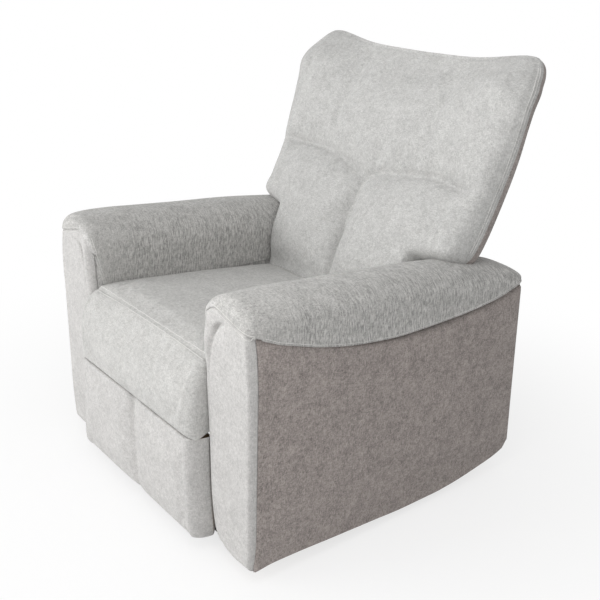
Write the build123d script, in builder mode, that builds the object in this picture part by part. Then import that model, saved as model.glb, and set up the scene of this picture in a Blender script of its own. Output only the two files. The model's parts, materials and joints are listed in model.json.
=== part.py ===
"""A reclining armchair in millimetres.

It has wooden frames, padded covers, a steel footrest linkage and a hinged back.
Frame: X across the chair (+X is the sitter's left), Y from front to rear, Z up, origin on the floor
under the middle of the whole chair. Side profiles are drawn as (depth, height), where depth runs
rearwards from the front of the arms. The back is drawn as (across, up) on its own leaning plane.
"""

import os
from math import atan2, cos, degrees, hypot, radians, sin

from build123d import *

# ---------------------------------------------------------------- overall sizes
overall_width = 833.0
arm_width = 165.0
seat_depth = 520.0
seat_front_height = 459.0
seat_rear_height = 418.0
back_lean = 25.5
back_foot_depth = 528.0
back_foot_height = 429.0
back_height = 668.0
back_half_width = 400.0

# ---------------------------------------------------------------- boards, covers and clearances
board = 22.0
cover = 10.0
ply = 15.0
pad_overhang = 5.0
arm_joint_gap = 1.0
seat_side_gap = 3.5
back_side_gap = 11.5
running_clearance = 0.06

# ---------------------------------------------------------------- arms, as (depth, height)
arm_toe = (12.0, 40.0)
arm_belly = (430.0, 17.0)
arm_heel = (790.0, 58.0)
arm_rear_foot = (806.0, 82.0)
arm_rear_top = (781.0, 499.0)
pad_front_edge = (12.0, 560.0)
pad_low_edge = (430.0, 481.0)
pad_rear_edge = (779.0, 519.0)
pad_crest = [
    (12.0, 616.0),
    (90.0, 622.0),
    (260.0, 611.0),
    (440.0, 600.0),
    (620.0, 580.0),
    (740.0, 556.0),
    (786.0, 534.0),
]
pad_outer_round = 56.0
pad_inner_round = 64.0
pad_nose_round = 12.0
frame_floor = 48.0
frame_top = 468.0
frame_relief = (30.0, 34.0)
arm_post_depth = 430.0
arm_panel_floor = 78.0

# ---------------------------------------------------------------- arm front leaf, as (in or out, height)
leaf_crest = 610.0
leaf_toe = (8.0, 46.0)
leaf_outer_foot = 90.0
leaf_outer_top = 540.0
leaf_shoulder = (22.0, 590.0)
leaf_roll = [(14.0, 584.0), (-8.0, 528.0), (-5.0, 508.0), (9.0, 498.0)]
leaf_waist = [(2.0, 300.0), (10.0, 125.0)]
leaf_base = [(24.0, 62.0), (68.0, 38.0), (110.0, 36.0)]
leaf_round = 3.0

# ---------------------------------------------------------------- glides
glide_radius = 25.0
glide_stem_radius = 17.0
glide_foot_height = 12.0
glide_depths = (95.0, 700.0)

# ---------------------------------------------------------------- boards across, as (front, floor, top)
stretcher_sections = {"front_stretcher": (152.0, 40.0, 108.0), "rear_stretcher": (702.0, 62.0, 140.0)}

# ---------------------------------------------------------------- seat
seat_box_floor = 288.0
seat_box_top = 345.0
seat_box_front = 8.0
seat_crown = 5.0
seat_round = 14.0
spring_wire = 3.6
spring_count = 5
spring_pitch = 60.0
spring_wave = 22.0
spring_flank = 0.15
clip_width = 20.0
clip_foot = 4.0
bolster_reach = 41.0
bolster_floor = 292.0
bolster_toe = [(3.0, 22.0), (12.0, 0.0)]
bolster_round = 12.0

# ---------------------------------------------------------------- footrest linkage, as (depth, height)
drive_pivot = (123.0, 200.0)
link_length = 180.0
link_width = 24.0
link_thickness = 4.0
link_gap = 1.0
plate_thickness = 3.0
plate_face = 236.0
reach_angle = 165.0
fold_angle = 80.0
control_pivot_offset = 28.4
control_arm = 25.0
control_arm_angle = 256.3
pin_radius = 4.0
drive_pin_radius = 5.0
open_pin_offset = (-1.8, -0.62)
open_pin_clearance = 2.0
tail_length = 30.0
post_radius = 3.0
spring_post = (300.0, 192.0)
spring_radius = 6.0
spring_hook_radius = 1.5
spring_hook = 22.0
slot_start = 44.0
slot_spare = 5.0
plate_leg_width = 32.0
plate_leg_end = 2.0
plate_leg_front = 24.0
plate_leg_rear = 20.0
plate_gusset = 30.0
hinge_boss = 22.0
hinge_ramp = 60.0
torque_tube_radius = 11.0
torque_tube_wall = 2.0
tube_side = 22.0
tube_wall = 2.0
front_tube_depth = 178.0
rear_tube_depth = 560.0
rail_floor = 250.0
rail_top = 325.0
rail_front = 96.0
bolt_radius = 3.0
bolt_head_radius = 6.5
bolt_head_height = 4.0
bolt_depths = (150.0, 260.0, 370.0, 480.0)
bolt_height = 306.0

# ---------------------------------------------------------------- footrest
footrest_half_width = 255.0
footrest_board_half_width = 240.0
footrest_top = (-40.0, 284.0)
footrest_middle = (-54.0, 160.0)
footrest_bottom = (-50.0, 44.0)
footrest_underside = 21.0
footrest_rear_top = 248.0
footrest_corner = 52.0
footrest_toe = (-44.0, 28.0)
footrest_heel = (-30.0, 23.0)
footrest_board_floor = 34.0
footrest_board_top = 231.0
footrest_seam = 2.0
footrest_round = 10.0
bracket_flange = 26.0
bracket_boss = 10.0
bracket_flange_floor = 120.0

# ---------------------------------------------------------------- back
hinge_point = (670.0, 390.0)
hinge_pin_radius = 6.0
cushion_thickness = 86.0
edge_thickness = 45.0
back_frame_thickness = 38.0
webbing_thickness = 2.0
rear_panel_thickness = 6.0
cushion_floor = 338.0
cushion_front = 532.0
lumbar_top = 300.0
wing_half_width = 374.0
lumbar_bulge = 14.0
channel_gap = 2.0
wing_floor = 188.0
wing_corner = 58.0
wing_round = 14.0
stile_half_width = 228.0
shoulder_half_width = 258.0
shoulder_floor = 240.0
frame_foot = -60.0
frame_head = 598.0
head_dip = 640.0
ear_corner = (386.0, 684.0)
ear_round = 30.0
head_round = 24.0
lumbar_round = 18.0
back_waist_height = 505.0
rear_panel_inset = 2.0
back_bracket_top = 132.0
hinge_ear_width = 32.0
edge_round = 16.0
webbing_width = 50.0
webbing_levels = (20.0, 95.0, 170.0, 245.0, 380.0, 455.0, 530.0)

# ---------------------------------------------------------------- release lever in the sitter's right arm
lever_depth = 350.0
lever_height = 392.0
bezel_length = 92.0
bezel_height = 60.0
bezel_lip = 7.0
bezel_lip_thickness = 2.5
bezel_wall = 2.5
bezel_cup = 38.0
lever_thickness = 6.0
lever_length = 58.0
lever_pin_radius = 2.5
cable_radius = 3.0
cable_grip = 12.0

# ---------------------------------------------------------------- places worked out from the sizes above
arm_outer = overall_width / 2
arm_inner = arm_outer - arm_width
arm_middle = arm_outer - arm_width / 2
arm_face = arm_outer - pad_overhang
arm_filling = arm_face - arm_inner - 2 * cover
lean = radians(back_lean)
shell_thickness = cushion_thickness + webbing_thickness + back_frame_thickness + rear_panel_thickness
front_reach = footrest_middle[0] - 1.5
rear_reach = back_foot_depth + frame_head * sin(lean) + shell_thickness * cos(lean)
arm_front_y = -(front_reach + rear_reach) / 2


def side_plane(across):
    """A vertical plane across the chair, drawn in (depth, height), that extrudes towards +X."""
    return Plane(origin=(across, arm_front_y, 0), x_dir=(0, 1, 0), z_dir=(1, 0, 0))


def front_plane(depth):
    """A vertical plane drawn in (across, height), that extrudes towards the front."""
    return Plane(origin=(0, arm_front_y + depth, 0), x_dir=(1, 0, 0), z_dir=(0, -1, 0))


def back_plane(depth_in):
    """A plane parallel to the face of the back and depth_in behind it, drawn in (across, up)."""
    foot = (0, arm_front_y + back_foot_depth + depth_in * cos(lean), back_foot_height - depth_in * sin(lean))
    return Plane(origin=foot, x_dir=(1, 0, 0), z_dir=(0, -cos(lean), sin(lean)))


def on_back(up, depth_in):
    """The (depth, height) of a point up the back and depth_in behind its face."""
    depth = back_foot_depth + up * sin(lean) + depth_in * cos(lean)
    return (depth, back_foot_height + up * cos(lean) - depth_in * sin(lean))


def step_from(point, length, angle):
    """The point that lies length away from point, at angle degrees in its plane."""
    return (point[0] + length * cos(radians(angle)), point[1] + length * sin(radians(angle)))


def middle(a, b):
    """The point halfway between a and b."""
    return ((a[0] + b[0]) / 2, (a[1] + b[1]) / 2)


def distance(a, b):
    """The straight distance from a to b."""
    return hypot(b[0] - a[0], b[1] - a[1])


def heading(a, b):
    """The angle in degrees of the line from a to b in its plane."""
    return degrees(atan2(b[1] - a[1], b[0] - a[0]))


def link_outline(a, b, width):
    """The round-ended outline of a flat link with its end pivots at a and b, in the open sketch."""
    with Locations(middle(a, b)):
        SlotCenterToCenter(distance(a, b), width, rotation=heading(a, b))


def pivot_holes(points, radius):
    """Round holes through the open sketch at each point."""
    with Locations(*points):
        Circle(radius, mode=Mode.SUBTRACT)


def save(piece, name):
    """Labels a finished piece and writes it to its own file."""
    piece.part.label = name
    export_step(piece.part, f"parts/{name}.step")


def save_pair(piece, name):
    """Writes the sitter's left piece and its mirror image for the right side."""
    save(piece, f"left_{name}")
    with BuildPart() as twin:
        mirror(piece.part, about=Plane.YZ)
    save(twin, f"right_{name}")


os.makedirs("parts", exist_ok=True)

# ================================================================ arms
frame_crest_front = (arm_toe[0] + arm_joint_gap, pad_front_edge[1] - cover)
frame_crest_rear = (arm_rear_top[0] - cover - arm_joint_gap, arm_rear_top[1] - cover)
window_height = frame_top - frame_floor - 2 * board - cover
with BuildPart() as arm_frame:
    with BuildSketch(side_plane(arm_inner + cover)):
        with BuildLine():
            ThreePointArc(frame_crest_front, (pad_low_edge[0], frame_top), frame_crest_rear)
            Polyline(
                frame_crest_rear,
                (arm_heel[0] - 2 * cover, frame_floor + cover),
                (arm_toe[0] + arm_joint_gap, frame_floor),
                frame_crest_front,
            )
        make_face()
        for front, rear in ((arm_toe[0], arm_post_depth), (arm_post_depth, arm_rear_top[0] - 2 * cover)):
            with Locations(((front + rear) / 2 + board / 4, (frame_floor + frame_top + cover) / 2)):
                Rectangle(rear - front - 2 * board, window_height, mode=Mode.SUBTRACT)
    extrude(amount=arm_filling)
    with BuildSketch(front_plane(0)):
        with BuildLine():
            Polyline(
                (arm_inner + cover, frame_floor),
                (arm_inner + cover + frame_relief[0], frame_floor),
                (arm_inner + cover, frame_floor + frame_relief[1]),
                close=True,
            )
        make_face()
    extrude(amount=-arm_rear_foot[0], mode=Mode.SUBTRACT)
save_pair(arm_frame, "arm_frame")

with BuildPart() as outer_panel:
    with BuildSketch(side_plane(arm_face - cover)):
        with BuildLine():
            Line(arm_toe, pad_front_edge)
            ThreePointArc(pad_front_edge, pad_low_edge, pad_rear_edge)
            Line(pad_rear_edge, arm_rear_top)
            Line(arm_rear_top, arm_rear_foot)
            Line(arm_rear_foot, arm_heel)
            ThreePointArc(arm_heel, arm_belly, arm_toe)
        make_face()
    extrude(amount=cover)
    fillet(outer_panel.faces().sort_by(Axis.X)[-1].edges().sort_by(Axis.Y)[-2:], cover / 2)
save(outer_panel, "left_arm_outer_panel")

with BuildPart() as right_outer_panel:
    mirror(outer_panel.part, about=Plane.YZ)
    with BuildSketch(side_plane(-arm_face)):
        with Locations((lever_depth, lever_height)):
            RectangleRounded(bezel_length, bezel_height, bezel_lip)
    extrude(amount=cover, mode=Mode.SUBTRACT)
save(right_outer_panel, "right_arm_outer_panel")

with BuildPart() as inner_panel:
    with BuildSketch(side_plane(arm_inner)):
        with BuildLine():
            ThreePointArc(pad_front_edge, pad_low_edge, pad_rear_edge)
            Polyline(
                pad_rear_edge,
                (arm_rear_foot[0] - cover, arm_panel_floor),
                (arm_heel[0] - 2 * cover, frame_floor + cover),
                (arm_toe[0], frame_floor + cover),
                pad_front_edge,
            )
        make_face()
    extrude(amount=cover - arm_joint_gap)
save(inner_panel, "left_arm_inner_panel")

cable_entry = (225.0, rail_floor + cable_grip)
with BuildPart() as right_inner_panel:
    mirror(inner_panel.part, about=Plane.YZ)
    with BuildSketch(side_plane(-arm_inner - cover)):
        with Locations(cable_entry):
            Circle(cable_radius + arm_joint_gap)
    extrude(amount=cover, mode=Mode.SUBTRACT)
save(right_inner_panel, "right_arm_inner_panel")

# The front cover is a tall leaf: square to the floor outside, drawn in below, and rolled over
# towards the seat on top.
leaf_corner = (arm_face - leaf_toe[0], leaf_toe[1])
leaf_outside = [leaf_corner, (arm_face, leaf_outer_foot), (arm_face, leaf_outer_top)]
leaf_over = [leaf_outside[-1], (arm_face - leaf_shoulder[0], leaf_shoulder[1]), (arm_middle, leaf_crest)]
roll = [(arm_inner + out, height) for out, height in leaf_roll]
waist = [(arm_inner + out, height) for out, height in leaf_waist]
base = [(arm_inner + out, height) for out, height in leaf_base]
with BuildPart() as front_panel:
    with BuildSketch(front_plane(arm_toe[0] - arm_joint_gap)):
        with BuildLine():
            Polyline(*leaf_outside)
            ThreePointArc(*leaf_over)
            ThreePointArc(leaf_over[-1], roll[0], roll[1])
            ThreePointArc(roll[1], roll[2], roll[3])
            ThreePointArc(roll[3], waist[0], waist[1])
            ThreePointArc(waist[1], base[0], base[1])
            ThreePointArc(base[1], base[2], leaf_corner)
        make_face()
    extrude(amount=cover + arm_joint_gap)
    fillet(front_panel.faces().sort_by(Axis.Y)[0].edges(), leaf_round)
save_pair(front_panel, "arm_front_panel")

with BuildPart() as rear_panels:
    with BuildSketch(side_plane(arm_inner + cover)):
        with BuildLine():
            Polyline(
                arm_rear_foot,
                arm_rear_top,
                (arm_rear_top[0] - cover, arm_rear_top[1] - 2 * cover),
                (arm_rear_foot[0] - cover, arm_rear_foot[1] - cover / 2),
                close=True,
            )
        make_face()
    extrude(amount=arm_filling)
    mirror(about=Plane.YZ)
save(rear_panels, "arm_rear_panels")

# Each section of the pad is a vault: upright outside and inside, with a rounder shoulder towards the seat.
# The pad sits just above the curve that the outer panel and the inner panel follow.
pad_edges = (pad_front_edge, pad_low_edge, pad_rear_edge)
pad_seat = [(depth, height + arm_joint_gap) for depth, height in pad_edges]
with BuildPart() as arm_pad:
    for depth, crest in pad_crest:
        outer_spring = (arm_outer, crest - pad_outer_round)
        inner_spring = (arm_inner, crest - pad_inner_round)
        outer_top = (arm_outer - pad_outer_round, crest)
        inner_top = (arm_inner + pad_inner_round, crest)
        with BuildSketch(front_plane(depth)):
            with BuildLine():
                Line((arm_inner, frame_top), (arm_outer, frame_top))
                Line((arm_outer, frame_top), outer_spring)
                RadiusArc(outer_spring, outer_top, -pad_outer_round)
                Line(outer_top, inner_top)
                RadiusArc(inner_top, inner_spring, -pad_inner_round)
                Line(inner_spring, (arm_inner, frame_top))
            make_face()
    loft()
    with BuildSketch(side_plane(arm_inner)):
        with BuildLine():
            ThreePointArc(*pad_seat)
            Polyline(
                pad_seat[2],
                (pad_seat[2][0] + 2 * board, pad_seat[2][1]),
                (pad_seat[2][0] + 2 * board, frame_top - board),
                (pad_seat[0][0] - board, frame_top - board),
                (pad_seat[0][0] - board, pad_seat[0][1]),
                pad_seat[0],
            )
        make_face()
    extrude(amount=arm_width, mode=Mode.SUBTRACT)
    fillet(arm_pad.faces().sort_by(Axis.Y)[0].edges().sort_by(Axis.Z)[-3:], pad_nose_round)
save_pair(arm_pad, "arm_pad")

glide_profile = [
    (0, 0),
    (glide_radius, 0),
    (glide_radius, glide_foot_height / 2),
    (glide_stem_radius, glide_foot_height),
    (glide_stem_radius, frame_floor),
    (0, frame_floor),
]
with BuildPart() as glides:
    for depth in glide_depths:
        with BuildSketch(Plane.XZ.offset(-arm_front_y - depth)):
            with BuildLine():
                Polyline(*[(arm_middle + out, height) for out, height in glide_profile], close=True)
            make_face()
        revolve(axis=Axis((arm_middle, arm_front_y + depth, 0), (0, 0, 1)))
    mirror(about=Plane.YZ)
save(glides, "floor_glides")

# ================================================================ boards between the arms
for name, (front, low, high) in stretcher_sections.items():
    with BuildPart() as stretcher:
        with BuildSketch(side_plane(-arm_inner)):
            with Locations((front + board / 2, (low + high) / 2)):
                Rectangle(board, high - low)
        extrude(amount=2 * arm_inner)
    save(stretcher, name)

# ================================================================ seat
seat_half_width = plate_face - plate_thickness
bolt_places = [(depth, bolt_height) for depth in bolt_depths]
seat_box_run = seat_depth - seat_box_front
with BuildPart() as seat_frame:
    with BuildSketch(Plane.XY.offset(seat_box_floor)):
        with Locations((0, arm_front_y + (seat_box_front + seat_depth) / 2)):
            Rectangle(2 * seat_half_width, seat_box_run)
            Rectangle(2 * (seat_half_width - board), seat_box_run - 2 * board, mode=Mode.SUBTRACT)
    extrude(amount=seat_box_top - seat_box_floor)
    with BuildSketch(side_plane(-seat_half_width)):
        with Locations(*bolt_places):
            Circle(bolt_radius)
    extrude(amount=2 * seat_half_width, mode=Mode.SUBTRACT)
save(seat_frame, "seat_frame")

seat_slope = (seat_front_height - seat_rear_height) / seat_box_run
cushion_bottom = seat_box_top + 2 * spring_wire
with BuildPart() as seat_cushion:
    with BuildSketch(side_plane(-arm_inner + seat_side_gap)):
        with BuildLine():
            ThreePointArc(
                (seat_box_front, seat_front_height),
                (seat_depth / 2, seat_front_height - seat_slope * seat_depth / 2 + seat_crown),
                (seat_depth, seat_rear_height),
            )
            Polyline(
                (seat_depth, seat_rear_height),
                (seat_depth, cushion_bottom),
                (seat_box_front, cushion_bottom),
                (seat_box_front, seat_front_height),
            )
        make_face()
    extrude(amount=2 * (arm_inner - seat_side_gap))
    for side in (0, -1):
        side_face = seat_cushion.faces().filter_by(Axis.X).sort_by(Axis.X)[side]
        fillet(side_face.edges().sort_by(Axis.Z)[-2:], seat_round)
save(seat_cushion, "seat_cushion")

bolster_back = seat_box_front - arm_joint_gap
bolster_nose = (-bolster_reach, (seat_front_height + bolster_floor) / 2)
bolster_under = [(-bolster_reach + inward, bolster_floor + rise) for inward, rise in bolster_toe]
with BuildPart() as seat_bolster:
    with BuildSketch(side_plane(-arm_inner + seat_side_gap)):
        with BuildLine():
            Line((bolster_back, bolster_floor), (bolster_back, seat_front_height))
            ThreePointArc(
                (bolster_back, seat_front_height),
                (-bolster_reach / 2, seat_front_height - board),
                bolster_nose,
            )
            ThreePointArc(bolster_nose, *bolster_under)
            Line(bolster_under[1], (bolster_back, bolster_floor))
        make_face()
    extrude(amount=2 * (arm_inner - seat_side_gap))
    for side in (0, -1):
        side_face = seat_bolster.faces().filter_by(Axis.X).sort_by(Axis.X)[side]
        fillet(side_face.edges().sort_by(Axis.Y)[:2], bolster_round)
save(seat_bolster, "seat_front_bolster")

# Flat zigzag wires hooked over the front and rear rails of the seat box.
spring_front = seat_box_front + board / 2
spring_rear = seat_depth - board / 2
spring_waves = int((spring_rear - spring_front - 4 * board) // spring_pitch)
spring_lane = 2 * (seat_half_width - 2 * board) / spring_count
spring_lanes = [(lane - (spring_count - 1) / 2) * spring_lane for lane in range(spring_count)]
zigzag = [(0.0, spring_front), (0.0, spring_front + board)]
for wave in range(spring_waves):
    start = (spring_front + spring_rear - spring_waves * spring_pitch) / 2 + wave * spring_pitch
    side = spring_wave if wave % 2 else -spring_wave
    zigzag += [(side, start + spring_pitch * spring_flank), (side, start + spring_pitch * (1 - spring_flank))]
zigzag += [(0.0, spring_rear - board), (0.0, spring_rear)]
with BuildPart() as seat_springs:
    with BuildSketch(Plane.XY.offset(seat_box_top)):
        for lane in spring_lanes:
            bends = [(lane + across, arm_front_y + depth) for across, depth in zigzag]
            with BuildLine(Plane.XY.offset(seat_box_top)) as wire:
                FilletPolyline(*bends, radius=spring_wave / 3)
            trace(lines=wire.edges(), line_width=spring_wire)
    extrude(amount=spring_wire)
save(seat_springs, "seat_springs")

# Each clip is a foot just beyond the end of its wire and a tongue over the wire.
with BuildPart() as spring_clips:
    for end, outward in ((spring_front, -1), (spring_rear, 1)):
        foot = end + outward * (spring_wire + clip_foot / 2)
        tongue = end + outward * (spring_wire + clip_foot - board / 2)
        with BuildSketch(Plane.XY.offset(seat_box_top)):
            with Locations(*[(lane, arm_front_y + foot) for lane in spring_lanes]):
                Rectangle(clip_width, clip_foot)
        extrude(amount=2 * spring_wire - arm_joint_gap)
        with BuildSketch(Plane.XY.offset(seat_box_top + spring_wire)):
            with Locations(*[(lane, arm_front_y + tongue) for lane in spring_lanes]):
                Rectangle(clip_width, board)
        extrude(amount=spring_wire - arm_joint_gap)
save(spring_clips, "spring_clips")

# ================================================================ footrest linkage
# Two crossed pairs of equal links on each side. The upper pivots stay on one straight line, the reach line,
# and the lower pivots stay square below them, so every link turns as far as the drive link does.
drop_angle = reach_angle + 90.0
half_reach = link_length * cos(radians(fold_angle))
drop = link_length * sin(radians(fold_angle))
slot_pivot = step_from(drive_pivot, drop, drop_angle)
upper_knee = step_from(drive_pivot, half_reach, reach_angle)
lower_knee = step_from(upper_knee, drop, drop_angle)
footrest_pivot = step_from(drive_pivot, 2 * half_reach, reach_angle)
lower_tip = step_from(footrest_pivot, drop, drop_angle)
rear_cross = middle(drive_pivot, lower_knee)
front_cross = middle(upper_knee, lower_tip)
control_pivot = step_from(front_cross, control_pivot_offset, heading(upper_knee, lower_tip))
control_tip = step_from(footrest_pivot, control_arm, control_arm_angle)

layer_pitch = link_thickness + link_gap
rising_layer = plate_face - plate_thickness - layer_pitch
falling_layer = rising_layer - layer_pitch
bracket_layer = falling_layer - layer_pitch
control_layer = bracket_layer - layer_pitch
running_radius = pin_radius + running_clearance


def link_pair(a, b, layer, tight, running):
    """The left and right copies of one flat link, with holes for the pins it holds and those it runs on."""
    with BuildPart() as pair:
        with BuildSketch(side_plane(layer)):
            link_outline(a, b, link_width)
            if tight:
                pivot_holes(tight, pin_radius)
            if running:
                pivot_holes(running, running_radius)
        extrude(amount=link_thickness)
        mirror(about=Plane.YZ)
    return pair


def pin_pair(places, layer_in, layer_out, radius):
    """Left and right pins at each place, from the inner face of one layer to the outer face of another."""
    with BuildPart() as pins:
        with BuildSketch(side_plane(layer_in)):
            with Locations(*places):
                Circle(radius)
        extrude(amount=layer_out - layer_in)
        mirror(about=Plane.YZ)
    return pins


tail_tip = step_from(drive_pivot, tail_length, heading(lower_knee, drive_pivot))
with BuildPart() as drive_links:
    with BuildSketch(side_plane(falling_layer)):
        link_outline(drive_pivot, lower_knee, link_width)
        link_outline(drive_pivot, tail_tip, link_width - 2 * pin_radius)
        pivot_holes([drive_pivot], drive_pin_radius)
        pivot_holes([rear_cross, lower_knee], pin_radius)
        pivot_holes([tail_tip], post_radius)
    extrude(amount=link_thickness)
    mirror(about=Plane.YZ)
save(drive_links, "drive_links")

slotted_links = link_pair(slot_pivot, upper_knee, rising_layer, [slot_pivot, upper_knee], [rear_cross])
save(slotted_links, "slotted_links")

board_links = link_pair(lower_knee, footrest_pivot, rising_layer, [front_cross, footrest_pivot], [lower_knee])
save(board_links, "board_links")

top_links = link_pair(upper_knee, lower_tip, falling_layer, [control_pivot], [upper_knee, front_cross])
save(top_links, "top_links")

# The front hole of the control link is wide, so that the link can follow the footrest's whole swing.
open_hole = (control_tip[0] + open_pin_offset[0], control_tip[1] + open_pin_offset[1])
with BuildPart() as control_links:
    with BuildSketch(side_plane(control_layer)):
        link_outline(control_pivot, control_tip, link_width)
        pivot_holes([control_pivot], running_radius)
        pivot_holes([open_hole], pin_radius + open_pin_clearance)
    extrude(amount=link_thickness)
    mirror(about=Plane.YZ)
save(control_links, "control_links")

rising_face = rising_layer + link_thickness
falling_face = falling_layer + link_thickness
bracket_face = bracket_layer + link_thickness
save(pin_pair([rear_cross, lower_knee], falling_layer, rising_face, pin_radius), "drive_link_pins")
save(pin_pair([front_cross, footrest_pivot], bracket_layer, rising_face, pin_radius), "board_link_pins")
save(pin_pair([upper_knee], falling_layer, rising_face, pin_radius), "knee_pins")
save(pin_pair([slot_pivot], rising_layer, plate_face, pin_radius), "slot_pins")
save(pin_pair([control_pivot], control_layer, falling_face, pin_radius), "control_link_pins")
save(pin_pair([control_tip], control_layer, bracket_face, pin_radius), "bracket_pins")

with BuildPart() as torque_tube:
    with BuildSketch(side_plane(-falling_layer)):
        with Locations(drive_pivot):
            Circle(torque_tube_radius)
    extrude(amount=2 * falling_layer)
    with BuildSketch(side_plane(falling_layer)):
        with Locations(drive_pivot):
            Circle(drive_pin_radius)
    extrude(amount=plate_face + link_gap - falling_layer)
    with BuildSketch(side_plane(-falling_layer)):
        with Locations(drive_pivot):
            Circle(drive_pin_radius)
    extrude(amount=falling_layer - plate_face - link_gap)
    with BuildSketch(side_plane(-falling_layer + board)):
        with Locations(drive_pivot):
            Circle(torque_tube_radius - torque_tube_wall)
    extrude(amount=2 * (falling_layer - board), mode=Mode.SUBTRACT)
save(torque_tube, "torque_tube")

# The side plate carries the whole mechanism: a slotted front leg, a long rail under the seat,
# an ear for the spring post and a rear ear for the back.
slot_end = drop + slot_spare
leg_top = step_from(drive_pivot, -board, drop_angle)
leg_bottom = step_from(drive_pivot, slot_end - plate_leg_end, drop_angle)
slot_middle = step_from(drive_pivot, (slot_start + slot_end) / 2, drop_angle)
slot_run = slot_end - slot_start
with BuildPart() as side_plates:
    with BuildSketch(side_plane(plate_face - plate_thickness)):
        link_outline(leg_top, leg_bottom, plate_leg_width)
        with BuildLine():
            Polyline(
                (rail_front, rail_floor + board),
                (rail_front, rail_top),
                (hinge_point[0] - hinge_ramp, rail_top),
                (hinge_point[0] - hinge_boss, hinge_point[1]),
                (hinge_point[0] + hinge_boss, hinge_point[1]),
                (hinge_point[0] + hinge_boss, rail_floor + board),
                (hinge_point[0], rail_floor),
                (spring_post[0] + board, rail_floor),
                (spring_post[0] + board / 2, spring_post[1] - board / 2),
                (spring_post[0] - board / 2, spring_post[1] - board / 2),
                (spring_post[0] - board, rail_floor),
                (drive_pivot[0] + plate_gusset, rail_floor),
                (drive_pivot[0] + plate_leg_rear, drive_pivot[1]),
                (drive_pivot[0] - plate_leg_front, drive_pivot[1]),
                close=True,
            )
        make_face()
        with Locations(hinge_point):
            Circle(hinge_boss)
        pivot_holes([drive_pivot], drive_pin_radius + running_clearance)
        pivot_holes([hinge_point], hinge_pin_radius)
        pivot_holes(bolt_places, bolt_radius)
        pivot_holes([spring_post], post_radius)
        with Locations(slot_middle):
            SlotCenterToCenter(slot_run, 2 * running_radius, rotation=drop_angle, mode=Mode.SUBTRACT)
    extrude(amount=plate_thickness)
    mirror(about=Plane.YZ)
save(side_plates, "side_plates")

with BuildPart() as seat_bolts:
    with BuildSketch(side_plane(plate_face)):
        with Locations(*bolt_places):
            RegularPolygon(bolt_head_radius, 6)
    extrude(amount=bolt_head_height)
    with BuildSketch(side_plane(plate_face)):
        with Locations(*bolt_places):
            Circle(bolt_radius)
    extrude(amount=-plate_thickness - board)
    mirror(about=Plane.YZ)
save(seat_bolts, "seat_bolts")

# A square tube joins the side plates to the arms, with a welded flange against each arm.
for name, depth in (("front_cross_tube", front_tube_depth), ("rear_cross_tube", rear_tube_depth)):
    with BuildPart() as cross_tube:
        with BuildSketch(side_plane(-arm_inner)):
            with Locations((depth, rail_floor - tube_side / 2)):
                Rectangle(tube_side, tube_side)
        extrude(amount=2 * arm_inner)
        with BuildSketch(side_plane(-arm_inner + plate_thickness)):
            with Locations((depth, rail_floor - tube_side / 2)):
                Rectangle(tube_side - 2 * tube_wall, tube_side - 2 * tube_wall)
        extrude(amount=2 * (arm_inner - plate_thickness), mode=Mode.SUBTRACT)
        for face in (-arm_inner, arm_inner - plate_thickness):
            with BuildSketch(side_plane(face)):
                with Locations((depth, rail_floor - tube_side / 2)):
                    RectangleRounded(3 * tube_side, 2 * tube_side, tube_wall * 2)
            extrude(amount=plate_thickness)
    save(cross_tube, name)

spring_layer = falling_layer - spring_radius - 2 * link_gap
post_end = spring_layer - spring_radius
save(pin_pair([tail_tip], post_end, falling_face, post_radius), "tail_posts")
save(pin_pair([spring_post], post_end, plate_face, post_radius), "spring_posts")

# Extension springs pull the tails of the drive links rearwards and help the footrest out.
spring_run = distance(tail_tip, spring_post)
spring_start = step_from(tail_tip, spring_hook, heading(tail_tip, spring_post))
spring_plane = Plane(
    origin=(spring_layer, arm_front_y + spring_start[0], spring_start[1]),
    x_dir=(1, 0, 0),
    z_dir=(0, spring_post[0] - tail_tip[0], spring_post[1] - tail_tip[1]),
)
with BuildPart() as footrest_springs:
    with BuildSketch(spring_plane):
        Circle(spring_radius)
    extrude(amount=spring_run - 2 * spring_hook)
    with BuildSketch(spring_plane.offset(post_radius - spring_hook + spring_hook_radius)):
        Circle(spring_hook_radius)
    extrude(amount=spring_run - 2 * post_radius - 2 * spring_hook_radius)
    mirror(about=Plane.YZ)
save(footrest_springs, "footrest_springs")

# ================================================================ footrest
board_height = footrest_board_top - footrest_board_floor
with BuildPart() as footrest_board:
    with BuildSketch(front_plane(0)):
        with Locations((0, footrest_board_floor + board_height / 2)):
            RectangleRounded(2 * footrest_board_half_width, board_height, footrest_corner / 2)
    extrude(amount=ply)
save(footrest_board, "footrest_board")

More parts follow.
